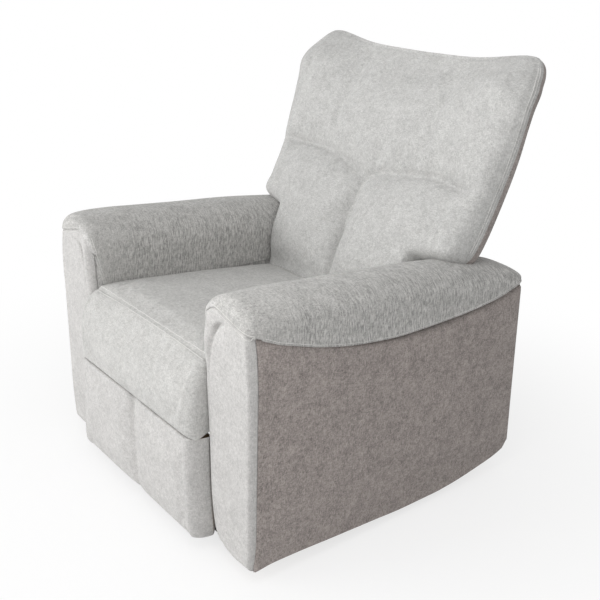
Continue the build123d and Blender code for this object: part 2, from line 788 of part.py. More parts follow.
# Each footrest pad folds under its board, and its lower outer corner is cut to a wide round.
pad_back = -ply - arm_joint_gap / 2
corner_start = (footrest_half_width - footrest_corner, footrest_underside)
corner_end = (footrest_half_width, footrest_underside + footrest_corner)
with BuildPart() as footrest_cushion:
    with BuildSketch(side_plane(footrest_seam / 2)):
        with BuildLine():
            ThreePointArc(footrest_top, footrest_middle, footrest_bottom)
            ThreePointArc(footrest_bottom, footrest_toe, (footrest_heel[0], footrest_underside))
            Polyline(
                (footrest_heel[0], footrest_underside),
                (-arm_joint_gap, footrest_heel[1]),
                (-arm_joint_gap, footrest_board_floor - arm_joint_gap),
                (pad_back, footrest_board_floor - arm_joint_gap),
                (pad_back, footrest_rear_top),
                footrest_top,
            )
        make_face()
    extrude(amount=footrest_half_width - footrest_seam / 2)
    with BuildSketch(front_plane(0)):
        with BuildLine():
            Polyline((0, 0), (corner_start[0], 0), corner_start)
            RadiusArc(corner_start, corner_end, -footrest_corner)
            Polyline(
                corner_end,
                (footrest_half_width, footrest_top[1] + board),
                (0, footrest_top[1] + board),
                (0, 0),
            )
        make_face()
    extrude(amount=-2 * footrest_middle[0], mode=Mode.INTERSECT)
    fillet(footrest_cushion.faces().sort_by(Axis.X)[0].edges().sort_by(Axis.Y)[0], footrest_round)
save_pair(footrest_cushion, "footrest_cushion")

flange_height = footrest_board_top - bracket_flange_floor
flange_middle = bracket_flange_floor + flange_height / 2
flange_across = bracket_layer + link_thickness - bracket_flange / 2
with BuildPart() as footrest_brackets:
    with BuildSketch(side_plane(bracket_layer)):
        with Locations(footrest_pivot):
            Circle(link_width / 2)
        with Locations(control_tip):
            Circle(bracket_boss)
        with Locations((plate_thickness / 2, flange_middle)):
            Rectangle(plate_thickness, flange_height)
        make_hull()
        pivot_holes([footrest_pivot], running_radius)
        pivot_holes([control_tip], pin_radius)
    extrude(amount=link_thickness)
    with BuildSketch(front_plane(plate_thickness)):
        with Locations((flange_across, flange_middle)):
            Rectangle(bracket_flange, flange_height)
    extrude(amount=plate_thickness)
    mirror(about=Plane.YZ)
save(footrest_brackets, "footrest_brackets")

# ================================================================ back
back_facing = Axis((0, 0, 0), (0, -cos(lean), sin(lean)))
lumbar_half_width = arm_inner - back_side_gap
face_foot = (cushion_front, back_foot_height + (cushion_front - back_foot_depth) / sin(lean) * cos(lean))
with BuildPart() as lumbar_cushion:
    with BuildSketch(side_plane(channel_gap / 2)):
        with BuildLine():
            ThreePointArc(face_foot, on_back(lumbar_top / 2, -lumbar_bulge), on_back(lumbar_top, 0))
            Polyline(
                on_back(lumbar_top, 0),
                on_back(lumbar_top, cushion_thickness),
                on_back(-board, cushion_thickness),
                (on_back(-board, cushion_thickness)[0] - board, cushion_floor),
                (cushion_front, cushion_floor),
                face_foot,
            )
        make_face()
    extrude(amount=lumbar_half_width - channel_gap / 2)
    fillet(lumbar_cushion.faces().filter_by(GeomType.CYLINDER).edges(), lumbar_round)
save_pair(lumbar_cushion, "lumbar_cushion")

with BuildPart() as wing_pad:
    with BuildSketch(back_plane(0)):
        with BuildLine():
            Polyline(
                (wing_half_width - wing_corner, wing_floor),
                (lumbar_half_width + channel_gap, wing_floor),
                (lumbar_half_width + channel_gap, lumbar_top),
                (wing_half_width, lumbar_top),
                (wing_half_width, wing_floor + wing_corner),
            )
            RadiusArc(
                (wing_half_width, wing_floor + wing_corner),
                (wing_half_width - wing_corner, wing_floor),
                wing_corner,
            )
        make_face()
    extrude(amount=-edge_thickness)
    fillet(wing_pad.faces().sort_by(back_facing)[-1].edges(), wing_round)
save_pair(wing_pad, "wing_pad")

# The head cushion is widest at its shoulders and dips between two raised ears.
head_floor = lumbar_top + channel_gap
with BuildPart() as head_cushion:
    with BuildSketch(back_plane(0)) as head_outline:
        with BuildLine():
            Line((0, head_floor), (wing_half_width, head_floor))
            ThreePointArc((wing_half_width, head_floor), (back_half_width, back_waist_height), ear_corner)
            mirror(about=Plane.YZ)
            ThreePointArc(ear_corner, (0, head_dip), (-ear_corner[0], ear_corner[1]))
        make_face()
        fillet(head_outline.vertices().sort_by(Axis.Y)[-2:], ear_round)
    extrude(amount=-edge_thickness)
    fillet(head_cushion.faces().sort_by(back_facing)[-1].edges().sort_by(Axis.Z)[2:], head_round)
    with BuildSketch(back_plane(edge_thickness)):
        with Locations((0, (head_floor + frame_head) / 2)):
            Rectangle(2 * (shoulder_half_width - channel_gap), frame_head - head_floor)
    extrude(amount=edge_thickness - cushion_thickness)
save(head_cushion, "head_cushion")

frame_face = cushion_thickness + webbing_thickness
mid_rail = (lumbar_top - board, lumbar_top + board)
with BuildPart() as back_frame:
    with BuildSketch(back_plane(frame_face)):
        with BuildLine():
            Polyline(
                (0, frame_foot),
                (stile_half_width, frame_foot),
                (stile_half_width, shoulder_floor),
                (shoulder_half_width, shoulder_floor + board),
                (shoulder_half_width, frame_head),
                (0, frame_head),
            )
            mirror(about=Plane.YZ)
        make_face()
        for low, high, half_width in (
            (frame_foot + 2 * board, mid_rail[0], stile_half_width - 2 * board),
            (mid_rail[1], frame_head - 2 * board, shoulder_half_width - 2 * board),
        ):
            with Locations((0, (low + high) / 2)):
                Rectangle(2 * half_width, high - low, mode=Mode.SUBTRACT)
    extrude(amount=-back_frame_thickness)
save(back_frame, "back_frame")

with BuildPart() as back_webbing:
    with BuildSketch(back_plane(cushion_thickness)):
        for level in webbing_levels:
            half_width = stile_half_width if level < lumbar_top else shoulder_half_width
            with Locations((0, level)):
                Rectangle(2 * (half_width - board), webbing_width)
    extrude(amount=-webbing_thickness)
save(back_webbing, "back_webbing")

rear_face = frame_face + back_frame_thickness
lower_cover_height = shoulder_floor - frame_foot - 2 * arm_joint_gap
with BuildPart() as back_lower_cover:
    with BuildSketch(back_plane(rear_face)):
        with Locations((0, (frame_foot + shoulder_floor) / 2)):
            Rectangle(2 * (stile_half_width - rear_panel_inset), lower_cover_height)
    extrude(amount=-rear_panel_thickness)
save(back_lower_cover, "back_lower_cover")

# The upper rear cover is a shallow shell: open in front, and open below where the lower cover goes on.
shell_front = edge_thickness + arm_joint_gap
shell_inside = shoulder_half_width + channel_gap / 2
shell_outside = shoulder_half_width + channel_gap + rear_panel_thickness
shell_head = frame_head + rear_panel_thickness + channel_gap
with BuildPart() as back_upper_cover:
    with BuildSketch(back_plane(shell_front)):
        with Locations((0, (shoulder_floor + shell_head - channel_gap) / 2)):
            Rectangle(2 * shell_outside, shell_head - shoulder_floor)
    extrude(amount=shell_front - rear_face - rear_panel_thickness)
    fillet(back_upper_cover.faces().sort_by(back_facing)[0].edges(), edge_round / 2)
    with BuildSketch(back_plane(shell_front)):
        with Locations((0, (shoulder_floor + frame_head) / 2 - board)):
            Rectangle(2 * shell_inside, frame_head + channel_gap - shoulder_floor + 2 * board)
    extrude(amount=shell_front - rear_face, mode=Mode.SUBTRACT)
save(back_upper_cover, "back_upper_cover")

bracket_line = frame_face + back_frame_thickness / 2
with BuildPart() as back_brackets:
    with BuildSketch(side_plane(stile_half_width)):
        link_outline(on_back(-board, bracket_line), on_back(back_bracket_top, bracket_line), link_width)
        link_outline(on_back(board, bracket_line), hinge_point, hinge_ear_width)
        pivot_holes([hinge_point], hinge_pin_radius + running_clearance)
    extrude(amount=link_thickness)
    mirror(about=Plane.YZ)
save(back_brackets, "back_brackets")
save(pin_pair([hinge_point], stile_half_width, plate_face + pin_radius, hinge_pin_radius), "back_hinge_pins")

# ================================================================ release lever
panel_out = -arm_face
cup_bottom = panel_out + bezel_cup
bezel_outside = (bezel_length - arm_joint_gap, bezel_height - arm_joint_gap)
bezel_inside = (bezel_outside[0] - 2 * bezel_wall, bezel_outside[1] - 2 * bezel_wall)
lever_across = panel_out + lever_thickness
lever_pivot = (lever_across, arm_front_y + lever_depth - bezel_length / 2 + 2 * lever_thickness)
with BuildPart() as release_bezel:
    with BuildSketch(side_plane(panel_out - bezel_lip_thickness)):
        with Locations((lever_depth, lever_height)):
            RectangleRounded(bezel_length + 2 * bezel_lip, bezel_height + 2 * bezel_lip, 2 * bezel_lip)
    extrude(amount=bezel_lip_thickness)
    with BuildSketch(side_plane(panel_out)):
        with Locations((lever_depth, lever_height)):
            RectangleRounded(*bezel_outside, bezel_lip)
    extrude(amount=bezel_cup)
    with BuildSketch(side_plane(panel_out - bezel_lip_thickness)):
        with Locations((lever_depth, lever_height)):
            RectangleRounded(*bezel_inside, bezel_lip / 2)
    extrude(amount=bezel_lip_thickness + bezel_cup - bezel_wall, mode=Mode.SUBTRACT)
    with BuildSketch(Plane.XY.offset(lever_height - bezel_height / 2)):
        with Locations(lever_pivot):
            Circle(lever_pin_radius)
    extrude(amount=bezel_height, mode=Mode.SUBTRACT)
save(release_bezel, "release_bezel")

# The lever is a paddle in the cup with a short arm inwards, where the cable's wire is hooked.
lever_half_height = bezel_height / 2 - bezel_wall - 2 * arm_joint_gap
lever_arm = 3 * lever_thickness
with BuildPart() as release_lever:
    with BuildSketch(Plane.XY.offset(lever_height - lever_half_height)):
        with Locations(lever_pivot):
            Circle(lever_thickness)
        with Locations((lever_pivot[0] - lever_thickness / 2, lever_pivot[1] + lever_length / 2)):
            Rectangle(lever_thickness, lever_length)
        with Locations((lever_pivot[0] + lever_arm / 2, lever_pivot[1])):
            Rectangle(lever_arm, lever_thickness)
        with Locations(lever_pivot):
            Circle(lever_pin_radius + running_clearance, mode=Mode.SUBTRACT)
    extrude(amount=2 * lever_half_height - lever_thickness - arm_joint_gap)
save(release_lever, "release_lever")

with BuildPart() as lever_pin:
    with BuildSketch(Plane.XY.offset(lever_height - bezel_height / 2 + arm_joint_gap / 2)):
        with Locations(lever_pivot):
            Circle(lever_pin_radius)
    extrude(amount=bezel_height - arm_joint_gap)
save(lever_pin, "lever_pin")

with BuildPart() as lever_spring:
    with BuildSketch(Plane.XY.offset(lever_height + lever_half_height - lever_thickness)):
        with Locations(lever_pivot):
            Circle(lever_thickness - arm_joint_gap)
            Circle(lever_pin_radius + arm_joint_gap / 2, mode=Mode.SUBTRACT)
    extrude(amount=lever_thickness)
save(lever_spring, "lever_return_spring")

# The cable runs inside the arm from the back of the bezel down to its anchor on the side plate.
cable_start = (cup_bottom, arm_front_y + lever_depth, lever_height)
cable_high = (cup_bottom + 2 * board, arm_front_y + lever_depth, lever_height)
cable_low = (-arm_inner - 3 * board, arm_front_y + cable_entry[0], cable_entry[1])
cable_end = (-plate_face - cable_grip, arm_front_y + cable_entry[0], cable_entry[1])
with BuildPart() as release_cable:
    with BuildLine() as cable_path:
        FilletPolyline(cable_start, cable_high, cable_low, cable_end, radius=board)
    with BuildSketch(Plane(origin=cable_start, z_dir=(1, 0, 0))):
        Circle(cable_radius)
    sweep()
save(release_cable, "release_cable")

with BuildPart() as cable_anchor:
    with BuildSketch(side_plane(-plate_face - cable_grip)):
        with Locations(cable_entry):
            RectangleRounded(board, board, cable_radius)
    extrude(amount=cable_grip)
save(cable_anchor, "cable_anchor")
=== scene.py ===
"""Upholstery, finishes, light and camera for a reclining armchair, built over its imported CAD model.

Sizes are written in millimetres as (across, depth, height). Across is +X towards the sitter's left, depth runs
rearwards from the front of the arms, and height is above the floor. ChairSpace turns them into the shared frame.
"""

import json
import logging
import math
from collections.abc import Callable, Sequence
from dataclasses import dataclass, field
from enum import Enum

import bpy
import numpy as np
from mathutils import Matrix, Vector

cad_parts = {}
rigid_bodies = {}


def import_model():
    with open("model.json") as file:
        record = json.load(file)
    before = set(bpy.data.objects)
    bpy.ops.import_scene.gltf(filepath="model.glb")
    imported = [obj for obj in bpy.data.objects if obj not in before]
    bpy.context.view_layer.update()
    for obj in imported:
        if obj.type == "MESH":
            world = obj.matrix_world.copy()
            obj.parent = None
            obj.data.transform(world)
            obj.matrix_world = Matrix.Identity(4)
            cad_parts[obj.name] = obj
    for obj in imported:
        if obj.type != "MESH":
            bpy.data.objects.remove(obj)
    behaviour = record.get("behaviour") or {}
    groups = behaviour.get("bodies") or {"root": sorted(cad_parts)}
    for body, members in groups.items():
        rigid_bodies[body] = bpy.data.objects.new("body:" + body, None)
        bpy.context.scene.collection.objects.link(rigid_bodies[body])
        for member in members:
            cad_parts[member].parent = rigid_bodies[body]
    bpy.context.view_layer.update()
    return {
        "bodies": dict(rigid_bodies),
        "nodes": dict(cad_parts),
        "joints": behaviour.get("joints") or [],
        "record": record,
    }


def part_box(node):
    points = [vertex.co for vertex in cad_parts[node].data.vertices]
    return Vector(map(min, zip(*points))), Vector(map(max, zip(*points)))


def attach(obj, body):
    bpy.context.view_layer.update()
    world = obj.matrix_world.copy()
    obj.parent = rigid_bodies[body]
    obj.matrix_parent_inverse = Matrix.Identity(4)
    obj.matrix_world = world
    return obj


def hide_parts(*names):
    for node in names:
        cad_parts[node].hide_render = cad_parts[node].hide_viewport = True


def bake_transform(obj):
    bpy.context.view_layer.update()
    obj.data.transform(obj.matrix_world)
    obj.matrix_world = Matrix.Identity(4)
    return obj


MM = 0.001
WRAP_SLOPE = 0.259  # how fast the leaf's wrapped edge runs rearwards as it drops on the pad's inner side
WRAP_LINE = -0.2745  # y + WRAP_SLOPE * z along that edge, in metres
WRAP_BLUR = 0.0008  # half the width of that edge, in metres
FRAME = 600  # the width and height of the frame that the camera's focal length and centre are measured on
Line = Callable[[np.ndarray], np.ndarray]
Colour = tuple[float, float, float]
log = logging.getLogger("armchair")


# ---------------------------------------------------------------- curves and distances
def through(knots: Sequence[tuple[float, float]]) -> Line:
    """A smooth line through (place, value) knots: cubic Hermite spans that never overshoot.

    The slope at a knot is the weighted harmonic mean of its two neighbouring slopes, or level where they differ
    in sign.

    Args:
        knots: The places in rising order, each with its value.

    Returns:
        A function from an array of places to an array of values, level beyond the two end knots.
    """
    place, value = np.asarray(knots, float).T
    gap = np.diff(place)
    rise = np.diff(value) / gap
    slope = np.zeros_like(value)
    slope[0], slope[-1] = rise[0], rise[-1]
    same = rise[:-1] * rise[1:] > 0
    near, far = (2 * gap[1:] + gap[:-1])[same], (gap[1:] + 2 * gap[:-1])[same]
    slope[1:-1][same] = (near + far) / (near / rise[:-1][same] + far / rise[1:][same])

    def line(t: np.ndarray) -> np.ndarray:
        """The value of the line at each place in t."""
        t = np.clip(np.asarray(t, float), place[0], place[-1])
        i = np.clip(np.searchsorted(place, t) - 1, 0, len(place) - 2)
        span = place[i + 1] - place[i]
        s = (t - place[i]) / span
        start = (2 * s**3 - 3 * s**2 + 1) * value[i] + (s**3 - 2 * s**2 + s) * span * slope[i]
        return start + (3 * s**2 - 2 * s**3) * value[i + 1] + (s**3 - s**2) * span * slope[i + 1]

    return line


def curve(*knots: tuple[float, float]) -> Line:
    """A dataclass field that holds the smooth line through some knots."""
    return field(default_factory=lambda: through(knots))


def ease(t: np.ndarray, low: float, high: float) -> np.ndarray:
    """The smooth step 3s² - 2s³ of t, from 0 at low to 1 at high."""
    s = np.clip((np.asarray(t, float) - low) / (high - low), 0, 1)
    return s * s * (3 - 2 * s)


def crowded(count: int, share: float = 0.75) -> np.ndarray:
    """Count places from -1 to 1 that crowd towards both ends: a blend of even steps and sine steps."""
    t = np.linspace(-1, 1, count)
    return (1 - share) * t + share * np.sin(t * math.pi / 2)


def spread(count: int, share: float = 0.75) -> np.ndarray:
    """Count places from 0 to 1 that crowd towards both ends."""
    return (crowded(count, share) + 1) / 2


def rounding(distance: np.ndarray, radius: float) -> np.ndarray:
    """The quarter circle sqrt(1 - (1 - d/r)²) that a padded edge rises along, from 0 at its rim to 1 beyond radius."""
    inside = 1 - np.clip(distance / radius, 0, 1)
    return np.sqrt(np.clip(1 - inside**2, 0, 1))


def distance_to(points: np.ndarray, path: np.ndarray, block: int = 4000) -> np.ndarray:
    """The distance from each point to the nearest straight piece of a path.

    Args:
        points: An array of (n, k) points.
        path: An array of (m, k) points joined by straight pieces.
        block: How many points are measured at once.

    Returns:
        An array of n distances.
    """
    start, step = path[:-1], np.diff(path, axis=0)
    length = np.maximum((step**2).sum(1), 1e-12)
    found = []
    for chunk in np.array_split(points, max(1, len(points) // block)):
        gap = chunk[:, None, :] - start[None]
        share = np.clip((gap * step).sum(2) / length, 0, 1)
        found.append(np.sqrt(((gap - share[..., None] * step) ** 2).sum(2)).min(1))
    return np.concatenate(found)


@dataclass(frozen=True)
class Fall:
    """How a padded face falls away towards one of its edges.

    Attributes:
        path: The edge, as flat points in mm.
        radius: How far in from the edge the fall starts, in mm.
        drop: How far the face has fallen at the edge, in mm.
    """

    path: np.ndarray
    radius: float | np.ndarray
    drop: float | np.ndarray

    def over(self, flat: np.ndarray) -> np.ndarray:
        """The fall (1 - rounding) times drop at each flat point of a grid."""
        gap = distance_to(flat.reshape(-1, 2), self.path).reshape(flat.shape[:-1])
        return (1 - rounding(gap, self.radius)) * self.drop


def rim_of(flat: np.ndarray) -> np.ndarray:
    """The rim of a grid of flat points, as one closed path."""
    return np.concatenate([flat[0], flat[1:, -1], flat[-1, -2::-1], flat[-2::-1, 0]])


def inland(flat: np.ndarray) -> np.ndarray:
    """How far each point of a grid of flat points lies from the grid's rim."""
    return distance_to(flat.reshape(-1, 2), rim_of(flat)).reshape(flat.shape[:2])


def fallen(falls: Sequence[Fall], flat: np.ndarray) -> np.ndarray:
    """The deepest of some falls at each point of a grid of flat points."""
    return np.max([fall.over(flat) for fall in falls], axis=0)


def face_held(held: np.ndarray) -> np.ndarray:
    """The shares held of a slab's points: those given on its face, and all of its hidden side."""
    return np.concatenate([held.ravel(), np.ones((held.shape[0] - 2) * (held.shape[1] - 2))])


def resampled(path: np.ndarray, pitch: float) -> np.ndarray:
    """Points every pitch along a path, in its own unit."""
    run = np.insert(np.linalg.norm(np.diff(path, axis=0), axis=1).cumsum(), 0, 0)
    at = np.arange(pitch / 2, run[-1], pitch)
    return np.stack([np.interp(at, run, path[:, k]) for k in range(path.shape[1])], -1)


# ---------------------------------------------------------------- where the chair stands
@dataclass(frozen=True)
class ChairSpace:
    """The chair's own measuring lines in the shared frame.

    Attributes:
        front: The y of the front of the arms, in metres.
        lean: The angle of the back from upright, in radians.
        foot_depth: The depth of the foot of the back's face, in mm.
        foot_height: The height of the foot of the back's face, in mm.
    """

    front: float
    lean: float = math.radians(25.5)
    foot_depth: float = 528.0
    foot_height: float = 429.0

    def at(self, across: np.ndarray, depth: np.ndarray, height: np.ndarray) -> np.ndarray:
        """Points in metres for places across, rearwards and above the floor in mm."""
        across, depth, height = np.broadcast_arrays(across, depth, height)
        return np.stack([across * MM, self.front + depth * MM, height * MM], -1)

    def on_back(self, across: np.ndarray, up: np.ndarray, proud: np.ndarray) -> np.ndarray:
        """Points in metres for places across and up the back's face, and proud of it, in mm."""
        depth = self.foot_depth + up * math.sin(self.lean) - proud * math.cos(self.lean)
        height = self.foot_height + up * math.cos(self.lean) + proud * math.sin(self.lean)
        return self.at(across, depth, height)


def added(name: str, data: bpy.types.ID) -> bpy.types.Object:
    """A new object of the scene that holds some data."""
    made = bpy.data.objects.new(name, data)
    bpy.context.scene.collection.objects.link(made)
    return made


# ---------------------------------------------------------------- closed shells
@dataclass
class Shell:
    """A closed skin as plain arrays.

    Attributes:
        points: The corners, in metres.
        quads: Four corner numbers for each face.
        tris: Three corner numbers for each face of an end fan.
        flow: For each corner, how far it lies across and along the run of the cloth, in metres.
    """

    points: np.ndarray
    quads: np.ndarray
    tris: np.ndarray
    flow: np.ndarray

    def outward(self) -> "Shell":
        """The same shell with its faces turned outwards, judged by the sign of its enclosed volume."""
        whole = np.concatenate([self.quads[:, [0, 1, 2]], self.quads[:, [0, 2, 3]], self.tris.reshape(-1, 3)])
        a, b, c = (self.points[whole[:, k]] for k in range(3))
        if np.einsum("ij,ij->i", a, np.cross(b, c)).sum() < 0:
            return Shell(self.points, self.quads[:, ::-1], self.tris[:, ::-1], self.flow)
        return self

    def piece(self, name: str, finish: bpy.types.Material, rest: bpy.types.Material | None = None) -> bpy.types.Object:
        """A new smooth-shaded object with this skin, its finish and its flow as a texture map.

        Args:
            name: The object's name.
            finish: The finish of the skin.
            rest: Another finish for the second half of a slab's faces, if it has one.

        Returns:
            The new object.
        """
        shell = self.outward()
        mesh = bpy.data.meshes.new(name)
        mesh.from_pydata(shell.points.tolist(), [], shell.quads.tolist() + shell.tris.tolist())
        corners = np.empty(len(mesh.loops), np.int32)
        mesh.loops.foreach_get("vertex_index", corners)
        layer = mesh.uv_layers.new(name="cloth_run")
        layer.data.foreach_set("uv", shell.flow[corners].astype(np.float32).ravel())
        mesh.polygons.foreach_set("use_smooth", np.ones(len(mesh.polygons), bool))
        mesh.update()
        mesh.materials.append(finish)
        if rest:
            mesh.materials.append(rest)
            count = len(mesh.polygons)
            mesh.polygons.foreach_set("material_index", (np.arange(count) * 2 // count).astype(np.int32))
        return added(name, mesh)


def grid_faces(number: np.ndarray) -> np.ndarray:
    """The four corner numbers of each face of a grid of numbered corners."""
    return np.stack([number[:-1, :-1], number[:-1, 1:], number[1:, 1:], number[1:, :-1]], -1).reshape(-1, 4)


def slab(front: np.ndarray, back: np.ndarray, flow: np.ndarray) -> Shell:
    """A closed slab between two grids of points that share their rims.

    Args:
        front: The (rows, columns, 3) points of one face.
        back: The same grid of the other face. Its rim is taken from the front.
        flow: The (rows, columns, 2) cloth places of the grid.

    Returns:
        The closed shell, with the two faces joined along the rim.
    """
    rows, columns = front.shape[:2]
    number = np.arange(rows * columns).reshape(rows, columns)
    behind = number.copy()
    behind[1:-1, 1:-1] = rows * columns + np.arange((rows - 2) * (columns - 2)).reshape(rows - 2, columns - 2)
    points = np.concatenate([front.reshape(-1, 3), back[1:-1, 1:-1].reshape(-1, 3)])
    faces = np.concatenate([grid_faces(number), grid_faces(behind[:, ::-1])])
    runs = np.concatenate([flow.reshape(-1, 2), flow[1:-1, 1:-1].reshape(-1, 2)])
    return Shell(points, faces, np.empty((0, 3), int), runs)


def tunnel(rings: np.ndarray) -> Shell:
    """A closed skin through rings of points, with a fan to the middle of the first ring and of the last.

    Args:
        rings: The (rings, points around, 3) places.

    Returns:
        The closed shell. Its flow is the distance around each ring and along the middle of the rings.
    """
    count, around = rings.shape[:2]
    number = np.arange(count * around).reshape(count, around)
    after = np.roll(number, -1, axis=1)
    quads = np.stack([number[:-1], after[:-1], after[1:], number[1:]], -1).reshape(-1, 4)
    ends = rings[[0, -1]].mean(1)
    first, last = count * around, count * around + 1
    tris = np.concatenate(
        [
            np.stack([after[0], number[0], np.full(around, first)], -1),
            np.stack([number[-1], after[-1], np.full(around, last)], -1),
        ]
    )
    girth = np.linalg.norm(np.diff(rings, axis=1, prepend=rings[:, :1]), axis=2).cumsum(1)
    middle = rings.mean(1)
    along = np.linalg.norm(np.diff(middle, axis=0, prepend=middle[:1]), axis=1).cumsum()
    flow = np.stack([girth, np.broadcast_to(along[:, None], girth.shape)], -1).reshape(-1, 2)
    flow = np.concatenate([flow, flow[[0, -1]]])
    return Shell(np.concatenate([rings.reshape(-1, 3), ends]), quads, tris, flow)


# ---------------------------------------------------------------- finishes
class Graph:
    """A small builder of shader nodes for one material."""

    def __init__(self, name: str) -> None:
        """Starts a material whose node tree holds a shader and its output alone."""
        self.material = bpy.data.materials.new(name)
        self.material.use_nodes = True
        self.tree = self.material.node_tree
        self.tree.nodes.clear()
        self.shader = self.node("ShaderNodeBsdfPrincipled")
        self.out = self.node("ShaderNodeOutputMaterial", {"Surface": self.shader.outputs["BSDF"]})

    def node(self, kind: str, inputs: dict[str | int, object] | None = None, **settings: object) -> bpy.types.Node:
        """A new node of a kind, with its inputs fed and its properties set."""
        made = self.tree.nodes.new(kind)
        for key, value in settings.items():
            setattr(made, key, value)
        self.feed(made, inputs or {})
        return made

    def feed(self, node: bpy.types.Node, inputs: dict[str | int, object]) -> None:
        """Links output sockets to some of a node's inputs, or sets their constants."""
        for key, value in inputs.items():
            if isinstance(value, bpy.types.NodeSocket):
                self.tree.links.new(value, node.inputs[key])
            else:
                node.inputs[key].default_value = value

    def spot(self) -> bpy.types.NodeSocket:
        """Places in the object's own space, which is the shared frame in metres."""
        return self.node("ShaderNodeTexCoord").outputs["Object"]

    def noise(self, stretch: Sequence[float], detail: float = 2.0) -> bpy.types.NodeSocket:
        """Fractal noise whose grains per metre along each axis are given by stretch."""
        place = self.node("ShaderNodeMapping", {"Vector": self.spot(), "Scale": tuple(stretch)}, vector_type="POINT")
        inputs = {"Vector": place.outputs["Vector"], "Scale": 1.0, "Detail": detail, "Roughness": 0.6}
        return self.node("ShaderNodeTexNoise", inputs).outputs["Fac"]

    def maths(self, operation: str, a: object, b: object = 0.0) -> bpy.types.NodeSocket:
        """The result of one arithmetic operation on two values."""
        return self.node("ShaderNodeMath", {0: a, 1: b}, operation=operation).outputs[0]

    def band(self, value: bpy.types.NodeSocket, low: float, high: float) -> bpy.types.NodeSocket:
        """A ramp from 0 at low to 1 at high, for an even scale that may run either way."""
        inputs = {"Value": value, "From Min": low, "From Max": high}
        return self.node("ShaderNodeMapRange", inputs).outputs["Result"]

    def weighted(self, parts: Sequence[tuple[bpy.types.NodeSocket, float]]) -> bpy.types.NodeSocket:
        """The sum over parts of weight times (value - 0.5), plus 0.5."""
        total: object = 0.5
        for value, weight in parts:
            centred = self.maths("SUBTRACT", value, 0.5)
            total = self.maths("ADD", total, self.maths("MULTIPLY", centred, weight))
        return total

    def shades(self, value: bpy.types.NodeSocket, stops: Sequence[tuple[float, Colour]]) -> bpy.types.NodeSocket:
        """Colours read from a ramp of (place, colour) stops."""
        made = self.node("ShaderNodeValToRGB", {"Fac": value})
        ramp = made.color_ramp.elements
        while len(ramp) < len(stops):
            ramp.new(0.5)
        for element, (at, colour) in zip(ramp, stops):
            element.position = at
            element.color = (*colour, 1.0)
        return made.outputs["Color"]

    def bump(self, height: bpy.types.NodeSocket, depth: float) -> None:
        """Gives the shader a bump whose full height is depth, in metres."""
        made = self.node("ShaderNodeBump", {"Height": height, "Distance": depth, "Strength": 1.0})
        self.feed(self.shader, {"Normal": made.outputs["Normal"]})


class Nap(Enum):
    """Which way the brushed fibres of a cloth lie."""

    AROUND = "around"
    FLAT = "flat"


@dataclass(frozen=True)
class Cloth:
    """A brushed melange upholstery cloth.

    Attributes:
        name: The finish's name, which is also a material slot of the record.
        tone: The middle colour of the yarns.
        nap: Which way the fibres lie.
        fleck: How far light and dark yarns differ, as a share of the tone.
        fibre: The height of the brushed fibres, in mm.
    """

    name: str
    tone: Colour
    nap: Nap
    fleck: float = 0.3
    fibre: float = 0.5

    def shade(self, factor: float) -> Colour:
        """The tone made lighter or darker by a factor."""
        return tuple(min(1.0, channel * factor) for channel in self.tone)

    def brushed(self, graph: Graph, split: bpy.types.Node) -> bpy.types.NodeSocket:
        """Streaks that run round an arm pad, faint at its nose and on its crown and strong down its sides."""
        streak = graph.noise((60, 330, 60), 2.0)
        rearwards, downwards = graph.band(split.outputs["Y"], -0.40, -0.30), graph.band(split.outputs["Z"], 0.64, 0.54)
        strength = graph.maths("ADD", graph.maths("MULTIPLY", rearwards, downwards), 0.15)
        return graph.maths("ADD", graph.maths("MULTIPLY", graph.maths("SUBTRACT", streak, 0.5), strength), 0.5)

    def wrapped(self, graph: Graph, split: bpy.types.Node, colour: bpy.types.NodeSocket) -> bpy.types.NodeSocket:
        """The colour made lighter where the front leaf's cloth wraps round onto the inner side of an arm pad."""
        line = graph.maths("ADD", split.outputs["Y"], graph.maths("MULTIPLY", split.outputs["Z"], WRAP_SLOPE))
        ahead = graph.band(line, WRAP_LINE + WRAP_BLUR, WRAP_LINE - WRAP_BLUR)
        inside = graph.band(graph.maths("ABSOLUTE", split.outputs["X"]), 0.300, 0.292)
        inputs = {"Fac": graph.maths("MULTIPLY", ahead, inside), "Color1": colour, "Color2": (1.15, 1.15, 1.16, 1.0)}
        return graph.node("ShaderNodeMixRGB", inputs, blend_type="MULTIPLY").outputs["Color"]

    def material(self) -> bpy.types.Material:
        """The cloth as shader nodes: crossed yarn flecks, a streaky nap, soft clouds and a fibre bump.

        Returns:
            The new material.
        """
        graph = Graph(self.name)
        warp = graph.noise((620, 620, 150), 2.0)
        weft = graph.noise((170, 170, 640), 2.0)
        grain = graph.noise((1500, 1500, 1500), 1.0)
        cloud = graph.noise((22, 22, 22), 3.0)
        mottle = graph.noise((95, 95, 95), 3.0)
        parts = [(warp, 1.2), (weft, 1.0), (grain, 0.7), (cloud, 0.45), (mottle, 0.7)]
        lift = [(warp, 1.0), (weft, 0.9), (grain, 0.6), (mottle, 0.8)]
        if self.nap is Nap.AROUND:
            split = graph.node("ShaderNodeSeparateXYZ", {0: graph.spot()})
            brushed = self.brushed(graph, split)
            parts.append((brushed, 2.2))
            lift.append((brushed, 2.0))
        value = graph.weighted(parts)
        low, high = self.shade(1 - self.fleck), self.shade(1 + self.fleck)
        colour = graph.shades(value, [(0.1, low), (0.5, self.tone), (0.9, high)])
        if self.nap is Nap.AROUND:
            colour = self.wrapped(graph, split, colour)
        graph.feed(graph.shader, {"Base Color": colour, "Roughness": 0.92, "Specular IOR Level": 0.15})
        graph.feed(graph.shader, {"Sheen Weight": 0.18, "Sheen Roughness": 0.5})
        graph.bump(graph.weighted(lift), self.fibre * MM)
        return graph.material


